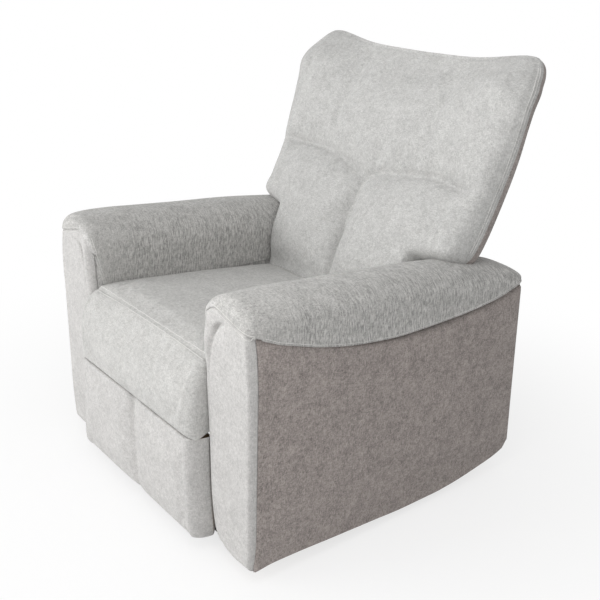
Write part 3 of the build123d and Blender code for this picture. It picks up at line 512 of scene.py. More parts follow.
@dataclass(frozen=True)
class Timber:
    """Sawn softwood: stretched rings along one axis, and fine pores."""

    name: str
    tone: Colour

    def material(self) -> bpy.types.Material:
        """The timber as shader nodes."""
        graph = Graph(self.name)
        rings = graph.noise((9, 90, 70), 4.0)
        pores = graph.noise((60, 900, 900), 2.0)
        value = graph.weighted([(rings, 1.6), (pores, 0.5)])
        dark = tuple(channel * 0.62 for channel in self.tone)
        colour = graph.shades(value, [(0.25, dark), (0.7, self.tone)])
        graph.feed(graph.shader, {"Base Color": colour, "Roughness": 0.7})
        graph.bump(value, 0.3 * MM)
        return graph.material


@dataclass(frozen=True)
class Hard:
    """A coated, plated or moulded finish with a fine grain and slightly uneven gloss."""

    name: str
    tone: Colour
    roughness: float
    metal: float = 0.0
    grain: float = 400.0
    relief: float = 0.05

    def material(self) -> bpy.types.Material:
        """The finish as shader nodes."""
        graph = Graph(self.name)
        grain = graph.noise((self.grain,) * 3, 2.0)
        patch = graph.noise((30, 30, 30), 2.0)
        value = graph.weighted([(grain, 0.6), (patch, 0.8)])
        dark = tuple(channel * 0.8 for channel in self.tone)
        colour = graph.shades(value, [(0.2, dark), (0.8, self.tone)])
        rough = graph.maths("ADD", graph.maths("MULTIPLY", value, 0.2), self.roughness - 0.1)
        graph.feed(graph.shader, {"Base Color": colour, "Roughness": rough, "Metallic": self.metal})
        graph.bump(grain, self.relief * MM)
        return graph.material


@dataclass
class Wardrobe:
    """Every finish of the chair, made once and kept by its slot name."""

    finishes: Sequence[Cloth | Timber | Hard]
    made: dict[str, bpy.types.Material] = field(default_factory=dict)

    def __getitem__(self, name: str) -> bpy.types.Material:
        """The material of a finish, made the first time it is asked for."""
        if name not in self.made:
            self.made[name] = next(f for f in self.finishes if f.name == name).material()
        return self.made[name]


FINISHES = (
    Cloth("pad_cloth", (0.465, 0.458, 0.443), Nap.AROUND, fleck=0.36, fibre=0.7),
    Cloth("side_cloth", (0.332, 0.294, 0.276), Nap.FLAT, fleck=0.5, fibre=0.5),
    Cloth("seat_cloth", (0.50, 0.495, 0.48), Nap.FLAT, fleck=0.26),
    Cloth("back_cloth", (0.50, 0.497, 0.485), Nap.FLAT, fleck=0.28),
    Cloth("front_cloth", (0.515, 0.505, 0.493), Nap.FLAT, fleck=0.24),
    Cloth("webbing", (0.06, 0.06, 0.06), Nap.FLAT, fleck=0.4, fibre=0.3),
    Timber("pine", (0.66, 0.47, 0.28)),
    Hard("black_steel", (0.035, 0.035, 0.037), 0.42, metal=0.6),
    Hard("zinc_steel", (0.55, 0.55, 0.56), 0.35, metal=1.0),
    Hard("black_plastic", (0.03, 0.03, 0.03), 0.5, grain=900.0),
    Hard("cable_sleeve", (0.02, 0.02, 0.02), 0.6),
    Hard("thread", (0.74, 0.73, 0.71), 0.8, grain=2500.0),
)


# ---------------------------------------------------------------- padding
@dataclass(frozen=True)
class Stuffing:
    """How a sewn cover is blown up over its foam by a short cloth simulation.

    Attributes:
        pressure: The push on the cover from inside.
        cap: The furthest that a point may move, in mm.
        slack: How much larger the cut cloth is than the form, as a share.
        steps: The number of simulated frames.
        fill: A tightness, from 0 to 1. Not used.
    """

    pressure: float = 4.0
    cap: float = 22.0
    slack: float = 0.02
    steps: int = 16
    fill: float = 0.75

    def blow_up(self, piece: bpy.types.Object, held: np.ndarray) -> None:
        """Inflates a piece, holding each point by its share in held, and writes the result into its mesh.

        Args:
            piece: The closed cover.
            held: For each point, 1 where it is sewn or hidden and 0 where the cloth is free.
        """
        group = piece.vertex_groups.new(name="sewn")
        levels = 20
        held_level = np.round(np.clip(held, 0, 1) * levels).astype(int)
        for level in range(1, levels + 1):
            group.add(np.flatnonzero(held_level == level).tolist(), level / levels, "REPLACE")
        cloth = piece.modifiers.new("stuffing", "CLOTH")
        settings = {
            "quality": 4,
            "mass": 0.4,
            "tension_stiffness": 12,
            "compression_stiffness": 12,
            "shear_stiffness": 4,
            "bending_stiffness": 2.0,
            "air_damping": 2,
            "use_pressure": True,
            "uniform_pressure_force": self.pressure,
            "vertex_group_mass": group.name,
            "shrink_min": -self.slack,
        }
        for key, value in settings.items():
            setattr(cloth.settings, key, value)
        cloth.settings.effector_weights.gravity = 0
        cloth.collision_settings.use_collision = False
        cloth.point_cache.frame_start = 1
        cloth.point_cache.frame_end = self.steps
        for frame in range(1, self.steps + 1):
            bpy.context.scene.frame_set(frame)
        rest = np.empty(len(piece.data.vertices) * 3)
        moved = np.empty_like(rest)
        piece.data.vertices.foreach_get("co", rest)
        result = piece.evaluated_get(bpy.context.evaluated_depsgraph_get())
        result.data.vertices.foreach_get("co", moved)
        piece.modifiers.remove(cloth)
        piece.vertex_groups.remove(group)
        step = (moved - rest).reshape(-1, 3)
        length = np.linalg.norm(step, axis=1, keepdims=True)
        step *= np.minimum(1, self.cap * MM / np.maximum(length, 1e-9))
        piece.data.vertices.foreach_set("co", rest + step.ravel())
        piece.data.update()
        bpy.context.scene.frame_set(1)
        log.info("%s swelled by up to %.1f mm", piece.name, np.linalg.norm(step, axis=1).max() / MM)


def soften(piece: bpy.types.Object) -> bpy.types.Object:
    """Gives a cover one level of subdivision."""
    smooth = piece.modifiers.new("soften", "SUBSURF")
    smooth.levels = smooth.render_levels = 1
    return piece


def settle(piece: bpy.types.Object, body: str, slot: str, *nodes: str) -> bpy.types.Object:
    """Makes a piece ride on a body and lets it stand for CAD nodes."""
    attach(piece, body)
    if nodes:
        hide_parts(*nodes)
    log.info("%s rides on %s", piece.name, body)
    return piece


# ---------------------------------------------------------------- thread
@dataclass(frozen=True)
class Thread:
    """Rows of short raised stitches laid on finished covers.

    Attributes:
        finish: The thread's material.
        pitch: The distance from one stitch to the next, in mm.
        length: The length of a stitch, in mm.
        gauge: The radius of the thread, in mm.
    """

    finish: bpy.types.Material
    pitch: float = 5.0
    length: float = 3.8
    gauge: float = 0.8

    def nearest(self, skins: Sequence[bpy.types.Object], place: Vector) -> list[float]:
        """The nearest point of some finished covers to a place, followed by the way out of the cloth there."""
        found = [skin.closest_point_on_mesh(place)[1:3] for skin in skins]
        point, out = min(found, key=lambda hit: (hit[0] - place).length)
        return [*point, *out]

    def sew(
        self, name: str, body: str, slot: str, rows: Sequence[np.ndarray], covers: Sequence[bpy.types.Object]
    ) -> None:
        """Lays rows of stitches on the nearest points of some covers.

        A stitch is a capsule: three rings of six points and two tips, stretched along the row and half sunk in
        the cloth.

        Args:
            name: The new piece's name.
            body: The body that it rides on.
            slot: The record's slot that its finish is listed under. Not used.
            rows: Paths in metres, each near a cover.
            covers: The covers that the stitches lie on.
        """
        bpy.context.view_layer.update()
        graph = bpy.context.evaluated_depsgraph_get()
        skins = [cover.evaluated_get(graph) for cover in covers]
        middles, alongs, outs = [], [], []
        for row in rows:
            hits = [self.nearest(skins, Vector(place)) for place in resampled(row, 2 * MM).tolist()]
            lain = resampled(np.array(hits), self.pitch * MM)
            middles.append(lain[:, :3])
            outs.append(lain[:, 3:])
            alongs.append(np.gradient(lain[:, :3], axis=0))
        middle, along, out = (np.concatenate(part) for part in (middles, alongs, outs))
        along /= np.linalg.norm(along, axis=1, keepdims=True)
        out /= np.linalg.norm(out, axis=1, keepdims=True)
        aside = np.cross(along, out)
        sides = 6
        first, last = 3 * sides, 3 * sides + 1
        ids = np.arange(sides)
        turn = ids * 2 * math.pi / sides
        ring = np.cos(turn)[:, None, None] * aside + np.sin(turn)[:, None, None] * out
        half, thick = self.length / 2 * MM, self.gauge * MM
        rings = [middle + along * at * half + ring * size * thick for at, size in ((-0.7, 0.75), (0, 1), (0.7, 0.75))]
        tips = np.stack([middle - along * half, middle + along * half])
        points = np.concatenate([np.stack(rings).reshape(first, -1, 3), tips]).transpose(1, 0, 2)
        points = points + (out * thick * 0.35)[:, None]
        after = (ids + 1) % sides
        here, there = np.stack([ids, after], -1), np.stack([after, ids], -1) + sides
        quads = np.concatenate([np.concatenate([here, there], -1) + k for k in (0, sides)])
        ends = (after, ids, ids * 0 + first), (2 * sides + ids, 2 * sides + after, ids * 0 + last)
        tris = np.concatenate([np.stack(end, -1) for end in ends])
        shift = (np.arange(len(middle)) * (last + 1))[:, None, None]
        flat = points.reshape(-1, 3)
        shell = Shell(flat, (quads + shift).reshape(-1, 4), (tris + shift).reshape(-1, 3), flat[:, :2])
        settle(shell.piece(name, self.finish), body, slot)


# ---------------------------------------------------------------- arms
@dataclass
class Arm:
    """One upholstered arm: a padded top that rolls over both sides and the nose, a front leaf and a flat side.

    Attributes:
        space: The chair's measuring lines.
        wardrobe: The finishes.
        side: +1 for the sitter's left, -1 for the right.
        outer: Half the chair's width, in mm.
        inner: Half the seat's width, in mm.
        front: The depth of the pad's rolled front, in mm.
        rear: The depth of the pad's rounded rear end, in mm.
        nose: The radius of the rolled front, in mm.
        tail: The radius of the rear end, in mm.
        heel: The depth of the side cover's rear edge, in mm.
        tuck: How far the pad is drawn in at its front corner, and the side below it, in mm.
        around: The number of points on the visible part of each ring of the pad.
        cup: The depth and height of the middle of the release handle's cup, in mm.
        crest: The pad's highest line.
        low_edge: The pad's lower outer edge.
        head_seam: The seam between the front leaf and the pad, at each place across.
    """

    space: ChairSpace
    wardrobe: Wardrobe
    side: int
    outer: float = 416.5
    inner: float = 250.0
    front: float = -11.0
    rear: float = 790.0
    nose: float = 25.0
    tail: float = 34.0
    heel: float = 813.0
    tuck: float = 11.0
    around: int = 90
    cup: tuple[float, float] = (349.5, 392.0)
    crest: Line = curve(
        (0, 619), (30, 622), (90, 621), (180, 615), (290, 607), (450, 597), (560, 586), (670, 572), (740, 560),
        (776, 550), (790, 545),
    )
    low_edge: Line = curve(
        (0, 562), (20, 558), (62, 542), (110, 527), (157, 513), (274, 490), (400, 480), (534, 483), (679, 495),
        (776, 519), (790, 522),
    )
    head_seam: Line = curve(
        (250, 545), (262, 572), (276, 587), (295, 594), (312, 592), (334, 586), (357, 580), (382, 574), (400, 568),
        (416.5, 560),
    )

    @property
    def word(self) -> str:
        """The side in words."""
        return "left" if self.side > 0 else "right"

    def at(self, across: np.ndarray, depth: np.ndarray, height: np.ndarray) -> np.ndarray:
        """Points in metres on this arm's side of the chair, for places in mm."""
        return self.space.at(self.side * across, depth, height)

    def section(self, depth: np.ndarray, around: np.ndarray) -> tuple[np.ndarray, np.ndarray]:
        """The pad's outline at each depth: a rounded vault with upright flanks, open below.

        The crown is the superellipse |x/a|^2.3 + |z/b|^2.3 = 1. It spans the places around from the outer
        shoulder to the inner one. The outer flank drops to the low edge and the inner flank to the seat.

        Args:
            depth: Depths in mm, as a column.
            around: Places from 0 at the outer low edge to 1 at the inner low edge, as a row.

        Returns:
            The across and height of each point, in mm.
        """
        crest, low = self.crest(depth), self.low_edge(depth)
        outer = self.outer - self.tuck * (1 - ease(depth, self.front, 60))
        centre, half = (outer + self.inner) / 2, (outer - self.inner) / 2
        rise_out = np.minimum(58, crest - low - 6)
        rise_in = np.minimum(64, crest - low - 2)
        shoulder, inner_shoulder, seat = 0.2, 0.7, 428
        turn = np.clip((around - shoulder) / 0.5, 0, 1) * math.pi
        power = 2 / 2.3
        across = np.sign(np.cos(turn)) * np.abs(np.cos(turn)) ** power
        height = np.abs(np.sin(turn)) ** power
        rise = np.where(turn < math.pi / 2, rise_out, rise_in)
        bulge = 5 * np.exp(-((around - 0.74) / 0.1) ** 2)
        hem = 2.2 * np.exp(-((around / 0.03) ** 2)) * ease(depth, 30, 200)
        x = centre + across * half - bulge + hem
        z = crest - rise + height * rise
        z = z - np.clip((shoulder - around) / shoulder, 0, 1) * np.maximum(crest - rise_out - low, 1)
        z = z - np.clip((around - inner_shoulder) / 0.3, 0, 1) * (crest - rise_in - seat)
        return x, z

    def pad_rings(self) -> np.ndarray:
        """The pad's skin as rings from front to rear.

        A disc that grows from a point, a quarter circle round the nose, the vaulted run, a quarter circle round
        the rear end and a shrinking disc. Below the leaf's seam the front is pushed back behind the leaf.

        Returns:
            The (rings, points, 3) places in metres.
        """
        grow, arc = np.linspace(0.05, 1, 12), np.linspace(0, math.pi / 2, 14)[1:]
        run = np.linspace(self.front + self.nose, self.rear - self.tail, 120)[1:-1]
        none, pinch = run * 0, 20.0
        out, back = 1 - np.cos(arc), 1 - np.sin(arc)
        front, rear = grow * 0 + self.front, grow * 0 + self.rear
        depths = front, self.front + self.nose * out, run, self.rear - self.tail * back, rear
        insets = grow * 0 + self.nose, self.nose * back, none, pinch * out, grow * 0 + pinch
        scales = grow, arc * 0 + 1, none + 1, arc * 0 + 1, grow[::-1]
        depth, inset, scale = (np.concatenate(part)[:, None] for part in (depths, insets, scales))
        x, z = self.section(depth, np.linspace(0, 1, self.around)[None])
        # The hidden bottom, just below the low edge.
        under = np.linspace(0, 1, 26)[None, 1:-1]
        floor = self.low_edge(depth) - 2
        below_x = x[:, -1:] + (x[:, :1] - x[:, -1:]) * under
        below_z = z[:, -1:] + (floor - z[:, -1:]) * ease(under, 0.0, 0.12)
        x, z = np.concatenate([x, below_x], 1), np.concatenate([z, below_z], 1)
        # Each ring shrinks by its inset towards a middle that lies 48 mm below the crest, and 28 mm at the rear.
        middle_x = (self.outer + self.inner) / 2
        middle_z = self.crest(depth) - 48 + 20 * ease(depth, 700, self.rear)
        reach = np.hypot(x - middle_x, z - middle_z)
        shrink = (1 - inset / np.maximum(reach, inset + 6)) * scale
        x, z = middle_x + (x - middle_x) * shrink, middle_z + (z - middle_z) * shrink
        behind = 15 * (1 - ease(z, self.head_seam(x) - 7, self.head_seam(x) + 1)) * (1 - ease(depth, 8, 24))
        return self.at(x, depth + behind, z)

    def pad(self) -> bpy.types.Object:
        """The padded top, blown up between its lower edges."""
        rings = self.pad_rings()
        piece = tunnel(rings).piece(f"{self.word}_arm_pad_cover", self.wardrobe["pad_cloth"])
        place = np.arange(rings.shape[1]) / (self.around - 1)
        loose = ease(place, 0.06, 0.2) * (1 - ease(place, 0.75, 0.95))
        depth = (rings[:, 0, 1] - self.space.front) / MM
        ends = ease(depth, 14, 50) * (1 - ease(depth, 730, 775))
        held = 1 - np.outer(ends, loose)
        Stuffing(pressure=2.0, cap=7, slack=0.012).blow_up(piece, np.append(held.ravel(), [1, 1]))
        return settle(soften(piece), "chair_base", "pad_cloth", f"{self.word}_arm_pad")

    def leaf(self) -> bpy.types.Object:
        """The tall front leaf, drawn in below, wrapped round both front corners and sewn to the pad above."""
        u, v = spread(60, 0.7)[None], spread(120, 0.6)[:, None]
        level = 46 + v * 544
        inner = through(
            [
                (45, 300), (53, 288), (62, 280), (75, 275), (100, 270), (159, 264), (282, 260), (400, 254),
                (470, 250), (560, 249), (580, 252), (590, 258),
            ]
        )(level)
        outer = through(
            [(45, 402), (70, 408), (110, 411), (150, 412), (470, 412), (530, 409), (570, 403), (600, 396)]
        )(level)
        x = inner + (outer - inner) * u
        foot = through([(262, 62), (280, 54), (300, 44), (314, 37), (351, 30), (402, 32), (417, 41)])(x)
        head = self.head_seam(x)
        z = foot + (head - foot) * v
        flat = np.stack([x, z], -1)
        face = through([(40, -1), (150, -4), (400, -6), (540, -9), (600, -9)])(z)
        side_rim = np.interp(z, [40, 430, 480, 560, 600], [14, 14, 11, 8, 5])
        falls = (
            Fall(flat[:, -1], 11, 15 - face),
            Fall(flat[:, 0], 12 + 14 * ease(z, 400, 480), side_rim - face),
            Fall(flat[0], 20, 17 - face),
            Fall(flat[-1], 10, 5),
        )
        depth = face + fallen(falls, flat)
        # The fold that runs up beside the pad's inner flank and bends over under its nose.
        roll = np.array([(268, 400), (273, 455), (277, 500), (283, 528), (292, 548), (303, 560), (322, 570)], float)
        off = distance_to(flat.reshape(-1, 2), roll).reshape(x.shape)
        deep = np.interp(z, [400, 470, 525, 548, 562, 571], [0, 3.0, 7.0, 11.0, 8.0, 0])
        plump = 6 * np.exp(-(((x - 263) / 14) ** 2)) * ease(z, 430, 500) * (1 - ease(z, 560, 590))
        depth = depth + deep * (np.exp(-((off / 3.6) ** 2)) + 0.4 * np.exp(-off / 9)) - plump
        skin = self.at(x, depth, z)
        hidden = self.at(x, np.minimum(depth + 7 * rounding(inland(flat), 6), 22), z)
        piece = slab(skin, hidden, flat * MM).piece(f"{self.word}_arm_front_leaf", self.wardrobe["front_cloth"])
        return settle(soften(piece), "chair_base", "front_cloth", f"{self.word}_arm_front_panel")

    def painted_shade_lining(self) -> bpy.types.Object:
        """A black board behind the leaf's inner edge: it hides the frame beside the footrest, and its black is painted
        shade for the shadowed gap there.
        """
        x, z = 243 + 60 * spread(8)[None], 48 + 392 * spread(60)[:, None]
        front, rear = (self.at(x, depth, z) for depth in (15, 19))
        flat = np.stack(np.broadcast_arrays(x, z), -1)
        # Painted shade: the board wears the black webbing finish to stand for the shadow in the gap beside the
        # footrest.
        piece = slab(front, rear, flat * MM).piece(f"{self.word}_arm_front_lining", self.wardrobe["webbing"])
        return settle(piece, "chair_base", "webbing")

    def outer_side(self) -> bpy.types.Object:
        """The flat side: upright edges, a bellied lower edge and a shoulder that turns in under the pad."""
        u, v = spread(150, 0.6)[None], spread(110, 0.6)[:, None]
        belly = through(
            [
                (20, 33), (58, 36), (125, 34), (211, 29), (346, 22), (449, 17), (544, 17), (597, 20), (705, 35),
                (761, 46), (806, 62),
            ]
        )
        start = 11
        depth = start + (self.heel - 24 * v - start) * u
        foot = belly(depth) + 18 * ease(depth, self.heel - 22, self.heel) * (1 - v)
        head = self.low_edge(depth) + 2 - 9 * ease(depth, 60, 520) - 6 * ease(depth, 740, 784)
        z = foot + (head - foot) * v
        flat = np.stack([depth, z], -1)
        # The shoulder turns in further towards the rear, where the pad's edge stands out more.
        shoulder = 5 + 15 * ease(depth, 60, 640)
        falls = (
            Fall(flat[0], 9, 9),
            Fall(flat[:, 0], 9, 7),
            Fall(flat[:, -1], 14, 11),
            Fall(flat[-1], shoulder, 2.5 + 13.5 * ease(depth, 80, 500)),
        )
        gap = inland(flat)
        proud = 2.2 * ease(gap, 10, 170)
        if self.side < 0:
            # The face lies flat round the cup of the release handle.
            along, above = np.abs(depth - self.cup[0]) - 52, np.abs(z - self.cup[1]) - 36
            off = np.hypot(np.maximum(along, 0), np.maximum(above, 0))
            proud = proud * ease(off, 2, 40) - 2.8 * (1 - ease(off, 0, 30))
        drop = fallen(falls, flat) + self.tuck * (1 - ease(depth, 0, 75)) * ease(z, 470, 570)
        face = self.outer - 3.2 - drop
        skin = self.at(face + proud, depth, z)
        hidden = self.at(face - 5 * rounding(gap, 3), depth, z)
        piece = slab(skin, hidden, flat * MM).piece(f"{self.word}_arm_side_cover", self.wardrobe["side_cloth"])
        if self.side < 0:
            self.cut_cup(piece)
        return settle(piece, "chair_base", "side_cloth", f"{self.word}_arm_outer_panel")

    def cut_cup(self, piece: bpy.types.Object) -> None:
        """Cuts the opening for the release handle's cup: a rounded block |y/a|^6 + |z/b|^6 = 1 taken away."""
        turn = np.linspace(0, 2 * math.pi, 73)[:-1]
        wide = np.sign(np.cos(turn)) * np.abs(np.cos(turn)) ** (1 / 3) * 47
        tall = np.sign(np.sin(turn)) * np.abs(np.sin(turn)) ** (1 / 3) * 31
        rings = [self.space.at(np.full_like(turn, -x), self.cup[0] + wide, self.cup[1] + tall) for x in (390, 425)]
        cutter = tunnel(np.stack(rings)).piece("cup_cutter", self.wardrobe["side_cloth"])
        cut = piece.modifiers.new("cup", "BOOLEAN")
        cut.operation, cut.object, cut.solver = "DIFFERENCE", cutter, "EXACT"
        bpy.context.view_layer.update()
        result = bpy.data.meshes.new_from_object(piece.evaluated_get(bpy.context.evaluated_depsgraph_get()))
        piece.modifiers.clear()
        piece.data = result
        bpy.data.objects.remove(cutter)

    def seams(self, pad: bpy.types.Object, leaf: bpy.types.Object) -> None:
        """Two rows along the leaf's head, two down the pad's inner side and one along its lower outer edge."""
        x = np.linspace(296, 409, 60)
        head = self.head_seam(x)
        before = self.front - 2 + 20 * ease(x, 396, 412)
        rows = [self.at(x, before, head + rise) for rise in (5, -5.5)]
        z = np.linspace(462, 584, 40)
        wrap = (578 - z) * WRAP_SLOPE
        rows += [self.at(self.inner, wrap + aside, z) for aside in (-2.5, 3.5)]
        depth = np.linspace(26, 770, 200)
        rows.append(self.at(self.outer + 1, depth, self.low_edge(depth) + 5))
        thread = Thread(self.wardrobe["thread"])
        thread.sew(f"{self.word}_arm_stitching", "chair_base", "front_cloth", rows, [pad, leaf])

    def build(self) -> None:
        """Makes every cover of the arm."""
        pad, leaf = self.pad(), self.leaf()
        self.outer_side()
        self.painted_shade_lining()
        self.seams(pad, leaf)


# ---------------------------------------------------------------- seat
@dataclass
class Seat:
    """The seat's one-piece cover: a crowned deck, a sewn front edge and a rolled bolster.

    Attributes:
        space: The chair's measuring lines.
        wardrobe: The finishes.
        deck: Half the deck's width between the arms, in mm.
        nose: Half the bolster's width in front of the arms, in mm.
    """

    space: ChairSpace
    wardrobe: Wardrobe
    deck: float = 249.0
    nose: float = 256.5

    def profile(self) -> np.ndarray:
        """The closed (depth, height) outline of the cover at its middle, from the hidden rear foot over the top."""
        knots = np.array(
            [
                (556, 350), (558, 385), (550, 408), (527, 422), (480, 428), (400, 437), (300, 447), (200, 455),
                (110, 462), (50, 465), (20, 464), (6, 460), (-6, 455), (-19, 444), (-30, 428), (-38, 408), (-43, 384),
                (-45.5, 356), (-46, 326), (-46, 303), (-44, 294), (-38, 289), (-10, 287.5), (4, 290), (8, 300),
                (12, 330), (40, 350), (300, 352),
            ]
        )
        chord = np.linalg.norm(np.diff(knots, axis=0, append=knots[:1]), axis=1).cumsum()
        chord = np.insert(chord[:-1], 0, 0)
        places = np.linspace(0, chord[-1], 230)
        return np.stack([through(list(zip(chord, knots[:, k])))(places) for k in (0, 1)], -1)

    def cover(self) -> bpy.types.Object:
        """The cover, blown up between its front seam and its hidden edges."""
        profile = self.profile()
        depth, height = profile[:, 0], profile[:, 1]
        share = crowded(90, 0.7)[:, None]
        half = self.nose - (self.nose - self.deck) * ease(depth, -24, -10)[None]
        across = share * half
        # Each profile shrinks along its normals towards the two side edges, most at the bolster.
        round_off = np.interp(depth, [-45, -25, 8, 40], [30, 26, 14, 14])[None]
        inset = round_off * (1 - rounding(half - np.abs(across), round_off))
        tangent = np.gradient(profile, axis=0)
        tangent /= np.maximum(np.linalg.norm(tangent, axis=1, keepdims=True), 1e-9)
        normal = np.stack([-tangent[:, 1], tangent[:, 0]], -1)
        normal *= np.sign(((profile - profile.mean(0)) * normal).sum(1).mean())
        normal[:, 1] = np.maximum(normal[:, 1], 0)
        rings = profile[None] - inset[..., None] * normal[None]
        crown = 5 * (1 - share**2) * ease(height, 400, 440)[None]
        seam = np.abs(depth - 6) + 4 * (height < 440)
        crease = 3.2 * np.exp(-((seam / 4.5) ** 2))[None] * (0.5 + 0.5 * ease(np.abs(share), 0.0, 0.8))
        points = self.space.at(across, rings[..., 0] + crease * 0.3, rings[..., 1] + crown - crease)
        piece = tunnel(points).piece("seat_cover", self.wardrobe["seat_cloth"])
        sewn = np.exp(-((seam / 7) ** 2)) * 0.9
        hidden = (height < 300) | (depth > 540) | ((depth > 8) & (height < 380))
        sides = 1 - ease(half - np.abs(across), 2, 34)
        held = np.maximum(np.maximum(sewn, hidden)[None], sides)
        Stuffing(pressure=2.5, cap=8, slack=0.012).blow_up(piece, np.append(held.ravel(), [1, 1]))
        settle(soften(piece), "chair_base", "seat_cloth", "seat_cushion", "seat_front_bolster")
        x = np.linspace(-238, 238, 120)
        rows = [self.space.at(x, at + 0 * x, high + 0 * x) for at, high in ((10.5, 470), (0.5, 466))]
        Thread(self.wardrobe["thread"]).sew("seat_front_stitching", "chair_base", "seat_cloth", rows, [piece])
        return piece


# ---------------------------------------------------------------- footrest
@dataclass
class Footrest:
    """The footrest's cover: two puffed halves on each side of a sewn middle line.

    Attributes:
        space: The chair's measuring lines.
        wardrobe: The finishes.
        face: The depth of the face where it is fullest, in mm.
        corner: The radius of its lower corners, in mm.
    """

    space: ChairSpace
    wardrobe: Wardrobe
    face: float = -47.0
    corner: float = 38.0

    def cover(self) -> bpy.types.Object:
        """The cover as a slab on an upright plane, blown up between its rim and its middle seam.

        The face falls away by a quarter circle towards each edge, and towards the middle seam by an exponential
        valley that ends in a notch at the top.
        """
        u, v = crowded(110, 0.7)[None], spread(72)[:, None]
        top, floor = 287.0, 28.0
        height = floor + (top - floor) * v
        half = through([(20, 268), (51, 270), (100, 266), (159, 260), (200, 257), (286, 256)])(height)
        half = half - self.corner * (1 - rounding(height - floor, self.corner))
        seam = through([(20, 12), (65, 11), (125, 8), (176, 4), (257, 0), (286, 0)])(height)
        x = seam * (1 - np.abs(u)) + u * half
        off = np.abs(x - seam)
        z = height - 9 * np.exp(-((off / 16) ** 2)) * ease(height, 240, top)
        flat = np.stack([x, z], -1)
        face = self.face + through([(20, 6), (90, 1), (180, 0), (286, 2)])(z)
        falls = (
            Fall(flat[0], 44, 44),
            Fall(flat[:, 0], 26, 57),
            Fall(flat[:, -1], 26, 57),
            Fall(flat[-1], 6, 6),
        )
        valley = 14 * np.exp(-off / 16) * (0.6 + 0.4 * ease(z, 120, 250)) + 6 * np.exp(-((off / 3.5) ** 2))
        valley = valley + 5 * np.exp(-np.maximum(x - seam, 0) / 30) * np.exp(-(((z - 281) / 7) ** 2)) * (x > seam)
        wrapped = -2 + 12 * ease(np.abs(x), 246, 256)
        depth = np.minimum(face + fallen(falls, flat) + valley, wrapped)
        gap = inland(flat)
        skin = self.space.at(x, depth, z)
        hidden = self.space.at(x, np.maximum(depth, -33 + 31 * (1 - ease(z, 235, top))) + 4 * rounding(gap, 4), z)
        piece = slab(skin, hidden, flat * MM).piece("footrest_cover", self.wardrobe["front_cloth"])
        held = np.maximum(1 - ease(gap, 8, 44), np.exp(-((off / 9) ** 2)))
        Stuffing(pressure=3.0, cap=7, slack=0.015).blow_up(piece, face_held(held))
        return settle(soften(piece), "footrest", "front_cloth", "left_footrest_cushion", "right_footrest_cushion")


